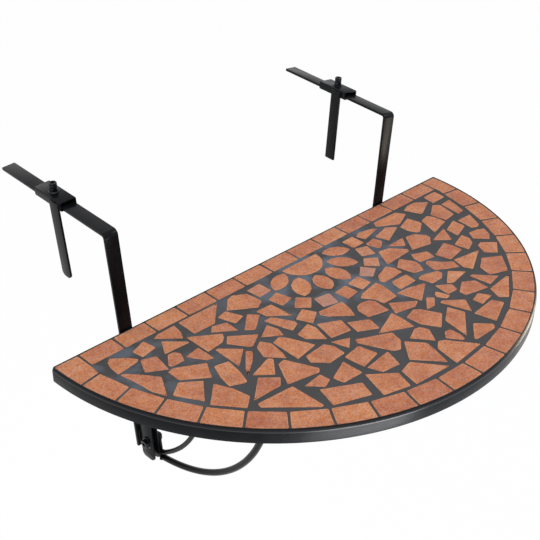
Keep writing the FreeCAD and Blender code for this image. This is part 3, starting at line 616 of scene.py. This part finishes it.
groutShape = {
    "rimStep": 4 * mm,  # spacing of the points round the bed
    "tileStep": 1.7 * mm,  # and round a tile
    "grid": 3.4 * mm,  # points between the tiles, in staggered rows
    "rowShare": 0.87,  # rows lie closer than the points in a row
    "stray": 0.5,  # mm off the grid
    "gridClear": (1.2 * mm, 1.5 * mm),  # from an outline, from the rim
    "foot": 0.9 * mm,  # a ring beside each tile carries the foot of the climb
    "footClear": (0.6 * mm, 1.2 * mm),
    "climb": 0.5 * mm,  # how high the grout climbs beside a tile
    "spread": 1.3 * mm,
    "below": 0.12 * mm,  # always under the tiles' faces
    "waves": ((0.22 * mm, 0, 55), (0.08 * mm, 3, 260)),  # height, layer, number to the metre
}


def inside(point, outline):
    hit = False
    x, y = point
    for i in range(len(outline)):
        (ax, ay), (bx, by) = outline[i - 1], outline[i]
        if (ay > y) != (by > y) and x < (bx - ax) * (y - ay) / (by - ay) + ax:
            hit = not hit
    return hit


def denseLoop(points, step):
    out = []
    for i, p in enumerate(points):
        a = Vector(p)
        b = Vector(points[(i + 1) % len(points)])
        steps = max(1, round((b - a).length / step))
        out += [a.lerp(b, k / steps) for k in range(steps)]
    return out


def gridPoints(tree, low, high):
    # staggered points on the open grout
    one = groutShape
    step = one["grid"]
    clear, rimClear = one["gridClear"]
    boxes = [(min(p[0] for p in o), max(p[0] for p in o), min(p[1] for p in o), max(p[1] for p in o), o)
             for o in chipOutlines]
    free = []
    row = 0
    y = low.y + step
    while y < high.y - step / 2:
        x = low.x + (step / 2 if row % 2 else 0)
        while x < high.x:
            near = tree.find((x, y, 0))[2]
            if near > clear and hypot(x, y - high.y) < high.x - rimClear:
                if not any(a < x < b and c < y < d and inside((x, y), o) for a, b, c, d, o in boxes):
                    free.append(Vector((x + random.uniform(-one["stray"], one["stray"]) * mm,
                                        y + random.uniform(-one["stray"], one["stray"]) * mm)))
            x += step
        y += step * one["rowShare"]
        row += 1
    return free


def buildGrout():
    one = groutShape
    outlines, top = topOutlines("grout_bed")
    boundary = max(outlines, key=lambda o: max(p[0] for p in o) - min(p[0] for p in o))
    low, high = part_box("grout_bed")
    loops = [denseLoop(boundary, one["rimStep"])]
    loops += [denseLoop(tidyOutline(o), one["tileStep"]) for o in chipOutlines]
    points = []
    faces = []
    for loop in loops:
        faces.append(list(range(len(points), len(points) + len(loop))))
        points += loop
    tree = KDTree(len(points))
    for i, p in enumerate(points):
        tree.insert((p.x, p.y, 0), i)
    tree.balance()
    free = gridPoints(tree, low, high)
    clear, rimClear = one["footClear"]
    for loop in loops[1:]:
        for p in insetOutline(loop, -one["foot"]):
            near = tree.find((p.x, p.y, 0))[2]
            onBed = hypot(p.x, p.y - high.y) < high.x - rimClear and p.y < high.y - rimClear
            if near > clear and onBed:
                free.append(p)
    result = geometry.delaunay_2d_cdt(points + free, [], faces, 0, 1e-7, True)
    bm = bmesh.new()
    made = []
    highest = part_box("mosaic_chips")[1].z - one["below"]
    for p in result[0]:
        near = tree.find((p.x, p.y, 0))[2]
        climb = one["climb"] * exp(-near / one["spread"])
        wave = sum(h * noise.noise(Vector((p.x, p.y, layer)) * count) for h, layer, count in one["waves"])
        made.append(bm.verts.new((p.x, p.y, min(top + climb + wave, highest))))
    # a cell is grout where only the bed's own outline, the first, holds it
    for cell, owners in zip(result[2], result[5]):
        if owners == [0]:
            bm.faces.new([made[i] for i in cell])
    bmesh.ops.delete(bm, geom=[v for v in bm.verts if not v.link_faces], context="VERTS")
    for face in bm.faces:
        if face.normal.z < 0:
            face.normal_flip()
    addPiece("groutSurface", bm, groutFinish, "table_frame", (), 80)


buildGrout()
nodes["grout_bed"].data.materials.clear()
nodes["grout_bed"].data.materials.append(groutFinish)
print("grout: sponged surface between the tiles")


# hooks, clamps and stays, in the places that the model gives them

bars = {  # mm; y and z from the rim's back face and the tiles' face, x from the middle
    "hookHeight": 151.0, "barThick": 4.0, "barWide": 20.0, "barEdge": 0.55, "bend": 7.0, "twist": 110.0,
    "legFoot": -204.0, "legLevels": (-120, -60, 0), "reach": 244.0, "armLevels": (60, 120, 180),
    "splay": 4.4, "boltHeight": -37.5,
    "railBase": -23.5, "railThick": 3.0, "railEdge": 0.5, "railFront": -259.0, "railLevels": (-200, -100),
    "tabFrom": -4.5, "tabFold": 3.0, "tabFoot": -51.5, "crossPlace": -140.0,
    "plateFace": 5.5, "plateThick": 4.0, "plateEdge": 0.6, "pinPlace": (-16.6, -189.0),
    "plateOutline": ((-6.0, -178.0), (-22.0, -176.0), (-30.5, -183.0),
                     (-30.5, -220.5), (-21.0, -220.5), (-6.0, -200.0)),
}
hookSides = {
    "left": {"way": -1, "offset": -259.5, "turn": 2.2, "clampStart": 94.0, "legInset": 2.0, "legNose": 7.0},
    "right": {"way": 1, "offset": 238.0, "turn": 7.0, "clampStart": 91.0, "legInset": 9.0, "legNose": 1.2},
}


armBase = bars["hookHeight"] - bars["barThick"]


def spot(x, y, z):
    return Vector((x, y - bars["barThick"], z - armBase)) * mm


def turnedAbout(pivot, degrees, axis):
    turn = Matrix.Rotation(radians(degrees), 4, axis)
    return Matrix.Translation(pivot) @ turn @ Matrix.Translation(-pivot)


def leanOf(side):
    # outward lean about the bolt that holds the hook to its rail
    one = hookSides[side]
    bolt = spot(one["offset"], 0, bars["boltHeight"])
    return turnedAbout(bolt, one["way"] * bars["splay"], "Y")


def turnOf(side, share):
    # the arm's turn about the upright middle line of its leg
    one = hookSides[side]
    return turnedAbout(spot(one["offset"], bars["barThick"] / 2, 0), -one["turn"] * share, "Z")


def armOf(side):
    return leanOf(side) @ turnOf(side, 1.0)


def buildHook(side, twistSteps=12, bendSteps=10):
    x = hookSides[side]["offset"]
    half = bars["barThick"] / 2
    bendStart = bars["hookHeight"] - bars["bend"]
    twistStart = bendStart - bars["twist"]
    path = [(spot(x, half, z), axisY, 0.0) for z in (bars["legFoot"], *bars["legLevels"], twistStart)]
    for i in range(1, twistSteps + 1):
        share = i / twistSteps
        path.append((spot(x, half, bendStart - bars["twist"] * (1 - share)), axisY, share))
    middle = bars["bend"] - half
    for i in range(1, bendSteps + 1):
        a = radians(90 * i / bendSteps)
        path.append((spot(x, bars["bend"] - middle * cos(a), bendStart + middle * sin(a)),
                     Vector((0, cos(a), -sin(a))), 1.0))
    for y in (*bars["armLevels"], bars["reach"]):
        path.append((spot(x, y, bars["hookHeight"] - half), -axisZ, 1.0))
    turned = []
    for place, thin, share in path:
        turn = turnOf(side, share)
        turned.append((turn @ place, turn.to_3x3() @ axisX, turn.to_3x3() @ thin))
    bm = bmesh.new()
    sweep(bm, turned, roundedSection(bars["barWide"], bars["barThick"], bars["barEdge"]), 0.5)
    addIron("hook_" + side, moved(bm, leanOf(side)))


def buildRail(side, foldSteps=8):
    x = hookSides[side]["offset"]
    half = bars["railThick"] / 2
    level = bars["railBase"] + half
    fold = bars["tabFold"]
    path = []
    for y in (bars["railFront"], *bars["railLevels"], bars["tabFrom"]):
        path.append((spot(x, y, level), axisX, -axisZ))
    for i in range(1, foldSteps + 1):
        a = radians(90 * i / foldSteps)
        path.append((spot(x, bars["tabFrom"] + fold * sin(a), level - fold + fold * cos(a)),
                     axisX, Vector((0, -sin(a), -cos(a)))))
    path.append((spot(x, -half, bars["tabFoot"]), axisX, -axisY))
    bm = bmesh.new()
    sweep(bm, path, roundedSection(bars["barWide"], bars["railThick"], bars["railEdge"]), 0.4)
    addIron("support_rail_" + side, bm)


def buildCrossRail(steps=6):
    start = hookSides["left"]["offset"] + bars["barWide"] / 2
    end = hookSides["right"]["offset"] - bars["barWide"] / 2
    level = bars["railBase"] + bars["railThick"] / 2
    path = [(spot(start + (end - start) * i / steps, bars["crossPlace"], level), axisY, axisZ)
            for i in range(steps + 1)]
    bm = bmesh.new()
    sweep(bm, path, roundedSection(bars["barWide"], bars["railThick"], bars["railEdge"]), 0.4)
    addIron("cross_rail", bm)


stays = {
    "front": {"thick": 9.0, "radius": 288.0, "centre": (23.93, 66.85), "foot": -30.5, "weldRise": 5.2},
    "rear": {"thick": 7.0, "radius": 252.0, "centre": (112.1, -0.05), "foot": -30.5, "weldRise": 13.2},
}


def stayRun(side, end, steps=44, stride=0.25):
    # points of the stay's middle line, from its foot on the plate to its head under the rail
    one = stays[end]
    x = hookSides[side]["offset"] - hookSides[side]["way"] * (bars["plateFace"] + bars["plateThick"] / 2)
    lean = leanOf(side)
    highest = spot(0, 0, bars["railBase"]).z - 0.1 * mm
    y, z = one["centre"]
    a = asin((y - one["foot"]) / one["radius"])
    run = []
    while not run or run[-1].z <= highest:
        run.append(lean @ spot(x, y - one["radius"] * sin(a), z - one["radius"] * cos(a)))
        a += radians(stride)
    run.pop()
    return [run[round(i * (len(run) - 1) / steps)] for i in range(steps + 1)]


def buildStay(side, end):
    run = stayRun(side, end)
    sideways = leanOf(side).to_3x3() @ axisX
    path = []
    for i, place in enumerate(run):
        along = (run[min(i + 1, len(run) - 1)] - run[max(i - 1, 0)]).normalized()
        high = along.cross(sideways).normalized()
        path.append((place, high.cross(along).normalized(), high))
    bm = bmesh.new()
    sweep(bm, path, roundSection(stays[end]["thick"]), 0.3)
    addIron("stay_%s_%s" % (end, side), bm, "table_frame", 60)
    return run


def cutPlate(outline, origin, thick, edge):
    # a plate cut to an outline in y and z, with every edge broken
    bm = bmesh.new()
    skin(bm, [addLoop(bm, [origin + Vector((x, y, z)) * mm for y, z in outline]) for x in (0, thick)])
    bmesh.ops.recalc_face_normals(bm, faces=bm.faces)
    rims = [e for e in bm.edges if e.calc_face_angle(0) > radians(40)]
    bmesh.ops.bevel(bm, geom=rims, offset=edge * mm, segments=2, profile=0.7, affect="EDGES",
                    clamp_overlap=True)
    return bm


def buildStayPlate(side):
    one = hookSides[side]
    inner = bars["plateFace"] if one["way"] < 0 else -bars["plateFace"] - bars["plateThick"]
    origin = spot(one["offset"] + inner, 0, 0)
    bm = cutPlate(bars["plateOutline"], origin, bars["plateThick"], bars["plateEdge"])
    addIron("stay_plate_" + side, moved(bm, leanOf(side)))


channel = {
    "wide": 11.0, "deep": 29.5, "wall": 2.0, "foot": -221.0, "corner": 2.4, "edge": 0.4,
    "heel": 7.0, "toe": 12.0,
    # heights over the foot
    "levels": (0.3, 0.8, 1.6, 2.6, 3.6, 5.0, 7.0, 9.0, 12.0, 61.0, 81.6, 82.0),
    "welds": ((22, 46), (56, 78)),
}


def channelSection(foldSteps=4):
    # folded U, open to the front; each fold keeps its outer and inner radius
    one = channel
    half = one["wide"] / 2
    deep = one["deep"]
    edge = one["edge"]
    turns = [radians(90 * i / foldSteps) for i in range(foldSteps + 1)]
    outer, inner = [[(half - one["corner"] + r * sin(a), r * cos(a) - one["corner"]) for a in turns]
                    for r in (one["corner"], one["corner"] - one["wall"])]
    right = outer + [(half, 0.5 - deep), (half - edge, -deep), (half - one["wall"] + edge, -deep),
                     (half - one["wall"], 0.5 - deep)] + inner[::-1]
    return right + [(-a, b) for a, b in reversed(right)]


def buildChannel(side):
    one = channel
    x = hookSides[side]["offset"]
    bm = bmesh.new()
    rings = []
    for level in one["levels"]:
        # the fold's lower end is cut round at the heel, and wider at the toe
        heel, toe = [r - sqrt(r * r - max(0, r - level) ** 2) for r in (one["heel"], one["toe"])]
        ring = []
        for a, b in channelSection():
            share = (b + one["deep"]) / one["deep"]
            ring.append(spot(x + a, b - heel * share + toe * (1 - share), one["foot"] + level))
        rings.append(addLoop(bm, ring))
    skin(bm, rings)
    addIron("channel_bracket_" + side, moved(bm, leanOf(side)))


clampSizes = {
    "sleeve": 62.0, "wall": 2.0, "clearance": 0.3, "room": 8.5, "corner": 1.8, "innerCorner": 0.6,
    "edge": 0.45, "innerEdge": 0.27, "leg": 116.0, "legThick": 3.0, "legEdge": 0.55, "screwPlace": 32.0,
}


def buildSleeve(side):
    # welded box tube that runs on the arm
    one = clampSizes
    start = hookSides[side]["clampStart"]
    end = start + one["sleeve"]
    edge = one["edge"]
    wide = bars["barWide"] + 2 * one["clearance"]
    middle = armBase + one["room"] / 2
    outer = roundedSection(wide + 2 * one["wall"], one["room"] + 2 * one["wall"], one["corner"], 5)
    inner = roundedSection(wide, one["room"], one["innerCorner"], 5)
    stations = ((outer, start + edge, 0), (outer, end - edge, 0), (outer, end, edge),
                (inner, end, -one["innerEdge"]), (inner, end - edge, 0), (inner, start + edge, 0),
                (inner, start, -one["innerEdge"]), (outer, start, edge))
    bm = bmesh.new()
    skin(bm, [sectionRing(bm, section, spot(hookSides[side]["offset"], y, middle), axisX, axisZ, shrink)
              for section, y, shrink in stations], True)
    addIron("clamp_sleeve_" + side, moved(bm, armOf(side)), "clamp_" + side)


def buildClampLeg(side, noseSteps=7):
    one = clampSizes
    nose = hookSides[side]["legNose"]
    wide = bars["barWide"]
    foot = -one["leg"]
    outline = [(0, 0), (0, foot + nose)]
    for i in range(1, noseSteps + 1):
        a = radians(90 * i / noseSteps)
        outline.append((nose - nose * cos(a), foot + nose - nose * sin(a)))
    outline += [(wide - a, b) for a, b in reversed(outline)]
    left = hookSides[side]["offset"] - wide / 2 - one["clearance"] - one["wall"] - one["legThick"]
    origin = spot(left, hookSides[side]["clampStart"] + hookSides[side]["legInset"], armBase + one["room"])
    bm = cutPlate(outline, origin, one["legThick"], one["legEdge"])
    addIron("clamp_leg_" + side, moved(bm, armOf(side)), "clamp_" + side)


# screws, bolts and nuts: profiles in mm as (distance along the axis, radius)

# between these two radii a profile is drawn as the hexagon socket, and so are the clamp screw's thread roots
hexKey = {"flats": 5.0, "from": 0.5, "to": 2.7}
screwSizes = {"lift": 0.05, "pitch": 1.0, "crest": 2.97, "root": 2.45, "thread": (0.8, 13.2),
              "base": 13.7, "top": 20.2, "head": 5.2, "knurl": 0.22, "ridges": 32}
nutSizes = {"flats": 13.0, "high": 6.5, "bore": 4.05}
weldNutSizes = {"flats": 10.5, "foot": 1.5, "high": 6.6, "bore": 3.05}
boltSizes = {"thread": 4.0, "pitch": 1.25, "railLong": 16.5, "pinBack": -15.0, "pinLong": 9.0}
weldNutFlange = ((0, 6.9), (0.25, 7.35), (0.9, 7.35), (1.7, 6.2), (2.0, 5.6))
washerProfile = ((0, 4.2), (0, 8.7), (0.3, 9), (1.3, 9), (1.6, 8.7), (1.6, 4.2))
domeFoot = [(0, 7.4), (0.3, 7.9)]
domeRise = {"steps": 6, "sweep": 72, "foot": 0.5, "high": 3.7, "middle": 3.9, "wide": 4.0}
domeSocket = [(4.2, 3.2), (3.9, 2.6), (1.6, 2.6), (1.2, 0.2)]


def hexRadius(flats, angle):
    return flats / 2 / cos(angle % (pi / 3) - pi / 6)


def socketWave(along, radius, angle):
    if hexKey["from"] < radius < hexKey["to"]:
        return min(radius * 1.2, hexRadius(hexKey["flats"], angle))
    return radius


def knurlWave(along, radius, angle):
    # straight knurl round the clamp screw's head, hexagon inside its socket
    one = screwSizes
    if one["base"] + 0.2 < along < one["top"] - 0.9 and radius > one["head"] * 0.95:
        return radius - one["knurl"] * (0.5 + 0.5 * cos(angle * one["ridges"]))
    return socketWave(along, radius, angle)


def socketProfile(top, radius, depth, chamfer):
    # from the head's rim over the top and down into the hexagon socket
    half = hexKey["flats"] / 2
    return [(top - chamfer, radius), (top, radius - chamfer), (top, half + 0.5), (top - 0.35, half + 0.1),
            (top - depth, half + 0.1), (top - depth - 0.6, 0.2)]


pinHead = [(1.6, 6.2), (1.9, 6.5), (5.8, 6.5)] + socketProfile(6.6, 6.5, 3.0, 0.6)


def addNut(bm, centre, axis, flats, low, high, bore, matrix=Matrix()):
    # hexagon with the corners turned off to a circle, as on a real nut
    crown = flats / sqrt(3)
    profile = [(low, bore), (low, crown * 0.87), (low + 0.35, crown * 0.95), (low + 0.9, crown * 1.05),
               (high - 0.9, crown * 1.05), (high - 0.35, crown * 0.95), (high, crown * 0.87),
               (high, bore + 0.5), (high - 0.5, bore)]
    lathe(bm, centre, axis, profile, 72,
          lambda along, radius, angle: min(radius, hexRadius(flats, angle), crown * 1.02), matrix)


def threadEnd(start, end):
    # a bolt's thread, which runs out in a chamfered tip
    radius = boltSizes["thread"]
    profile = [(start, radius * 0.98)]
    height = start + 0.4
    while height < end - 1.2:
        profile += [(height, radius), (height + 0.15, radius), (height + 0.55, radius * 0.86),
                    (height + 0.75, radius * 0.86)]
        height += boltSizes["pitch"]
    return profile + [(end - 0.9, radius * 0.97), (end, radius * 0.8), (end, radius * 0.2)]


def screwSpot(side, z):
    one = hookSides[side]
    return spot(one["offset"], one["clampStart"] + clampSizes["screwPlace"], z)


def buildScrew(side):
    one = screwSizes
    profile = [(0, 0.6), (0, 2.2), (0.6, 2.75)]
    height, threadTop = one["thread"]
    while height < threadTop:
        profile += [(height, one["crest"]), (height + 0.12, one["crest"]),
                    (height + 0.45, one["root"]), (height + 0.6, one["root"])]
        height += one["pitch"]
    base = one["base"]
    head = one["head"]
    profile += [(base, 3.0), (base, head - 0.4), (base + 0.4, head), (base + 0.41, head),
                (one["top"] - 1, head)]
    profile += socketProfile(one["top"], head, 3.2, 0.7)
    bm = bmesh.new()
    lathe(bm, screwSpot(side, bars["hookHeight"] + one["lift"]), axisZ, profile, 128, knurlWave)
    node = "clamp_screw_" + side
    moved(bm, armOf(side))
    addPiece(camel(node), bm, fastenerFinish, "screw_" + side, (node,), 30)


def buildWeldNut(side):
    one = weldNutSizes
    centre = screwSpot(side, armBase + clampSizes["room"] + clampSizes["wall"])
    bm = bmesh.new()
    lathe(bm, centre, axisZ, weldNutFlange, 64)
    addNut(bm, centre, axisZ, one["flats"], one["foot"], one["high"], one["bore"])
    addPiece("weldNut" + side.capitalize(), moved(bm, armOf(side)), fastenerFinish, "clamp_" + side,
             ("clamp_nut_" + side,), 30)


def domeProfile():
    one = domeRise
    profile = list(domeFoot)
    for i in range(1, one["steps"] + 1):
        a = radians(one["sweep"] * i / one["steps"])
        profile.append((one["foot"] + one["high"] * sin(a) / sin(radians(one["sweep"])),
                        one["middle"] + one["wide"] * cos(a)))
    return profile + domeSocket


def buildFasteners():
    bolt = boltSizes
    nut = (nutSizes["flats"], 0, nutSizes["high"], nutSizes["bore"])
    made = {kind: bmesh.new() for kind in (
        "rail_bolts", "rail_nuts", "pin_bolts", "pin_washers", "pin_nuts")}
    for side, one in hookSides.items():
        # rail bolt: low domed head behind the leg, nut in front of the tab
        behind = spot(one["offset"], bars["barThick"], bars["boltHeight"])
        lathe(made["rail_bolts"], behind, axisY, domeProfile(), 72, socketWave)
        lathe(made["rail_bolts"], behind, -axisY, threadEnd(0.2, bolt["railLong"]), 40)
        addNut(made["rail_nuts"], spot(one["offset"], -bars["railThick"], bars["boltHeight"]), -axisY, *nut)
        # pin through the bracket: washer and head outside, nut on the plate
        lean = leanOf(side)
        outward = axisX * one["way"]
        through = one["way"] * (bars["plateFace"] + bars["plateThick"])
        face = spot(one["offset"] + one["way"] * bars["plateFace"], *bars["pinPlace"])
        inner = spot(one["offset"] - through, *bars["pinPlace"])
        thread = threadEnd(bolt["pinBack"], bolt["pinLong"])
        lathe(made["pin_washers"], face, outward, washerProfile, 64, None, lean)
        lathe(made["pin_bolts"], face, outward, pinHead, 128, socketWave, lean)
        lathe(made["pin_bolts"], inner, -outward, thread, 40, None, lean)
        addNut(made["pin_nuts"], inner, -outward, *nut, lean)
    for node, bm in made.items():
        addPiece(camel(node), bm, fastenerFinish, "table_frame", (node,), 30)


for side in hookSides:
    buildHook(side)
    buildRail(side)
    buildChannel(side)
    buildStayPlate(side)
    buildSleeve(side)
    buildClampLeg(side)
    buildWeldNut(side)
    buildScrew(side)
buildCrossRail()
stayRuns = {(side, end): buildStay(side, end) for side in hookSides for end in stays}
buildFasteners()
print("ironwork: hooks, rails, brackets, stays, clamps and fasteners")


# welds

weld = {
    "ripple": 2.2 * mm, "step": 0.55 * mm, "sides": 10,
    "taper": {0: 0.45, 1: 0.85},  # share of the width at the ends and next to them
    # radii of the beads, mm
    "bracket": 1.7, "stayFoot": 1.3, "stayHead": 1.5, "crossRail": 1.5, "clampEdge": 1.3, "clampUnder": 1.2,
}


def spaced(start, end):
    count = max(2, int((end - start).length / weld["step"]))
    return [start.lerp(end, i / count) for i in range(count + 1)]


def weldBead(bm, run, radius, matrix=Matrix()):
    # a fillet of overlapping ripples along the joint
    rings = []
    travelled = 0.0
    for i, place in enumerate(run):
        ahead = run[min(i + 1, len(run) - 1)] - run[max(i - 1, 0)]
        ahead.normalize()
        side = ahead.orthogonal().normalized()
        other = ahead.cross(side)
        if i:
            travelled += (place - run[i - 1]).length
        phase = (travelled / weld["ripple"]) % 1
        size = radius * mm * (0.82 + 0.18 * sqrt(1 - phase)) * (1 + 0.06 * noise.noise(place * 300))
        size *= weld["taper"].get(min(i, len(run) - 1 - i), 1)
        rings.append(addLoop(bm, [
            matrix @ (place + (side * cos(a) + other * sin(a)) * size) for a in circle(weld["sides"])]))
    skin(bm, rings)


def buildWelds():
    bm = bmesh.new()
    for side, one in hookSides.items():
        x = one["offset"]
        lean = leanOf(side)
        # bracket to leg, both flanks
        for edge in (-1, 1):
            flank = x + edge * (channel["wide"] / 2 + 0.2)
            for bead in channel["welds"]:
                ends = [spot(flank, -0.3, channel["foot"] + rise) for rise in bead]
                weldBead(bm, spaced(*ends), weld["bracket"], lean)
        # stays to the plate's front edge, and to the rail
        plate = x - one["way"] * (bars["plateFace"] + bars["plateThick"] / 2)
        for end, stay in stays.items():
            radius = stay["thick"] / 2 + 0.3
            weldBead(bm, [spot(plate + radius * cos(a), stay["foot"] - 0.4 - 0.5 * sin(3 * a),
                               channel["foot"] + stay["weldRise"] + radius * sin(a)) for a in circle(26, 1)],
                     weld["stayFoot"], lean)
        for end, stay in stays.items():
            head = stayRuns[(side, end)][-1]
            radius = stay["thick"] / 2 * 1.12 * mm
            level = spot(0, 0, bars["railBase"] - 0.6).z
            weldBead(bm, [Vector((head.x + radius * cos(a), head.y + 1.25 * radius * sin(a), level))
                          for a in circle(30, 1)], weld["stayHead"])
        # cross rail to rail
        edge = x - one["way"] * bars["barWide"] / 2
        ends = [spot(edge, bars["crossPlace"] + far, bars["railBase"] - 0.2) for far in (-9, 9)]
        weldBead(bm, spaced(*ends), weld["crossRail"])
    addPiece("frameWelds", bm, weldFinish, "table_frame", (), 60)
    for side, one in hookSides.items():
        # clamp's leg to its sleeve: upright beads at the leg's edges, one under the sleeve
        bm = bmesh.new()
        left = one["offset"] - bars["barWide"] / 2 - clampSizes["clearance"] - clampSizes["wall"]
        start = one["clampStart"] + one["legInset"]
        for y in (start - 0.2, start + bars["barWide"] + 0.2):
            if y > one["clampStart"] + 1:
                ends = [spot(left - 0.4, y, armBase + rise) for rise in (-0.5, 8.0)]
                weldBead(bm, spaced(*ends), weld["clampEdge"])
        ends = [spot(left - 0.3, start + far, armBase - 2.0) for far in (2, 18)]
        weldBead(bm, spaced(*ends), weld["clampUnder"])
        addPiece("clampWelds" + side.capitalize(), moved(bm, armOf(side)), weldFinish, "clamp_" + side,
                 (), 60)


buildWelds()
print("welds")


# rim

rimSizes = {  # mm
    "radius": 379.9, "sheet": 2.0, "corner": 3.0,
    "bow": 2.6, "bowFrom": -247.0, "bowTo": 226.0,  # the long back strip, between the hooks
    # outward from the sheet's middle, height, highlight share; the strip's top is drawn in toward the grout,
    # so its outer edge lies lower and carries a painted highlight line, a lighter grey with more specular
    "section": ((1.0, -19.8, 0), (1.0, -5.3, 0), (1.0, -4.6, 0.6), (0.94, -3.9, 1), (0.7, -3.35, 0.4),
                (-0.7, 0.2, 0), (-1.0, 0.5, 0), (-1.0, -20.1, 0), (-0.6, -20.5, 0), (0.3, -20.5, 0),
                (0.8, -20.3, 0)),
}


def rimLine(arcSteps=180, cornerSteps=8, backSteps=48):
    # (x, y, outward x, outward y) of the strip's middle, once round: its ends meet the straight edge in a
    # tight rounded corner
    one = rimSizes
    half = one["sheet"] / 2
    radius = one["radius"] - half
    corner = one["corner"]
    first = asin((half + corner) / (radius - corner))
    cx = (radius - corner) * cos(first)

    def cornerPoints(x, start, stop, steps):
        turns = [start + (stop - start) * i / cornerSteps for i in steps]
        return [(x + corner * cos(a), corner * sin(a) - half - corner, cos(a), sin(a))
                for a in turns]

    turns = [first + (pi - 2 * first) * i / arcSteps for i in range(arcSteps + 1)]
    line = [(radius * cos(a), -radius * sin(a), cos(a), -sin(a)) for a in turns]
    line += cornerPoints(-cx, pi + first, pi / 2, range(1, cornerSteps + 1))
    line += [(-cx + 2 * cx * i / backSteps, -half, 0, 1) for i in range(1, backSteps)]
    return line + cornerPoints(cx, pi / 2, -first, range(cornerSteps))


def buildRim():
    one = rimSizes
    bm = bmesh.new()
    wear = bm.verts.layers.float.new("wear")
    rings = []
    for x, y, ox, oy in rimLine():
        centre = spot(x, y, 0)
        share = (x - one["bowFrom"]) / (one["bowTo"] - one["bowFrom"])
        bow = one["bow"] * sin(pi * share) ** 0.5 if oy > 0.99 and 0 < share < 1 else 0
        # only the outer face bows
        rings.append(addLoop(bm, [centre + Vector((ox * a, oy * a + (bow if a > 0 else 0), b)) * mm
                                  for a, b, worn in one["section"]]))
        # each point's share of the painted highlight line along the outer top edge
        for vert, (a, b, worn) in zip(rings[-1], one["section"]):
            vert[wear] = worn
    skin(bm, rings, True)
    addPiece("rimBand", bm, rimFinish, "table_frame", ("rim_band",), 40)


buildRim()
print("rim")
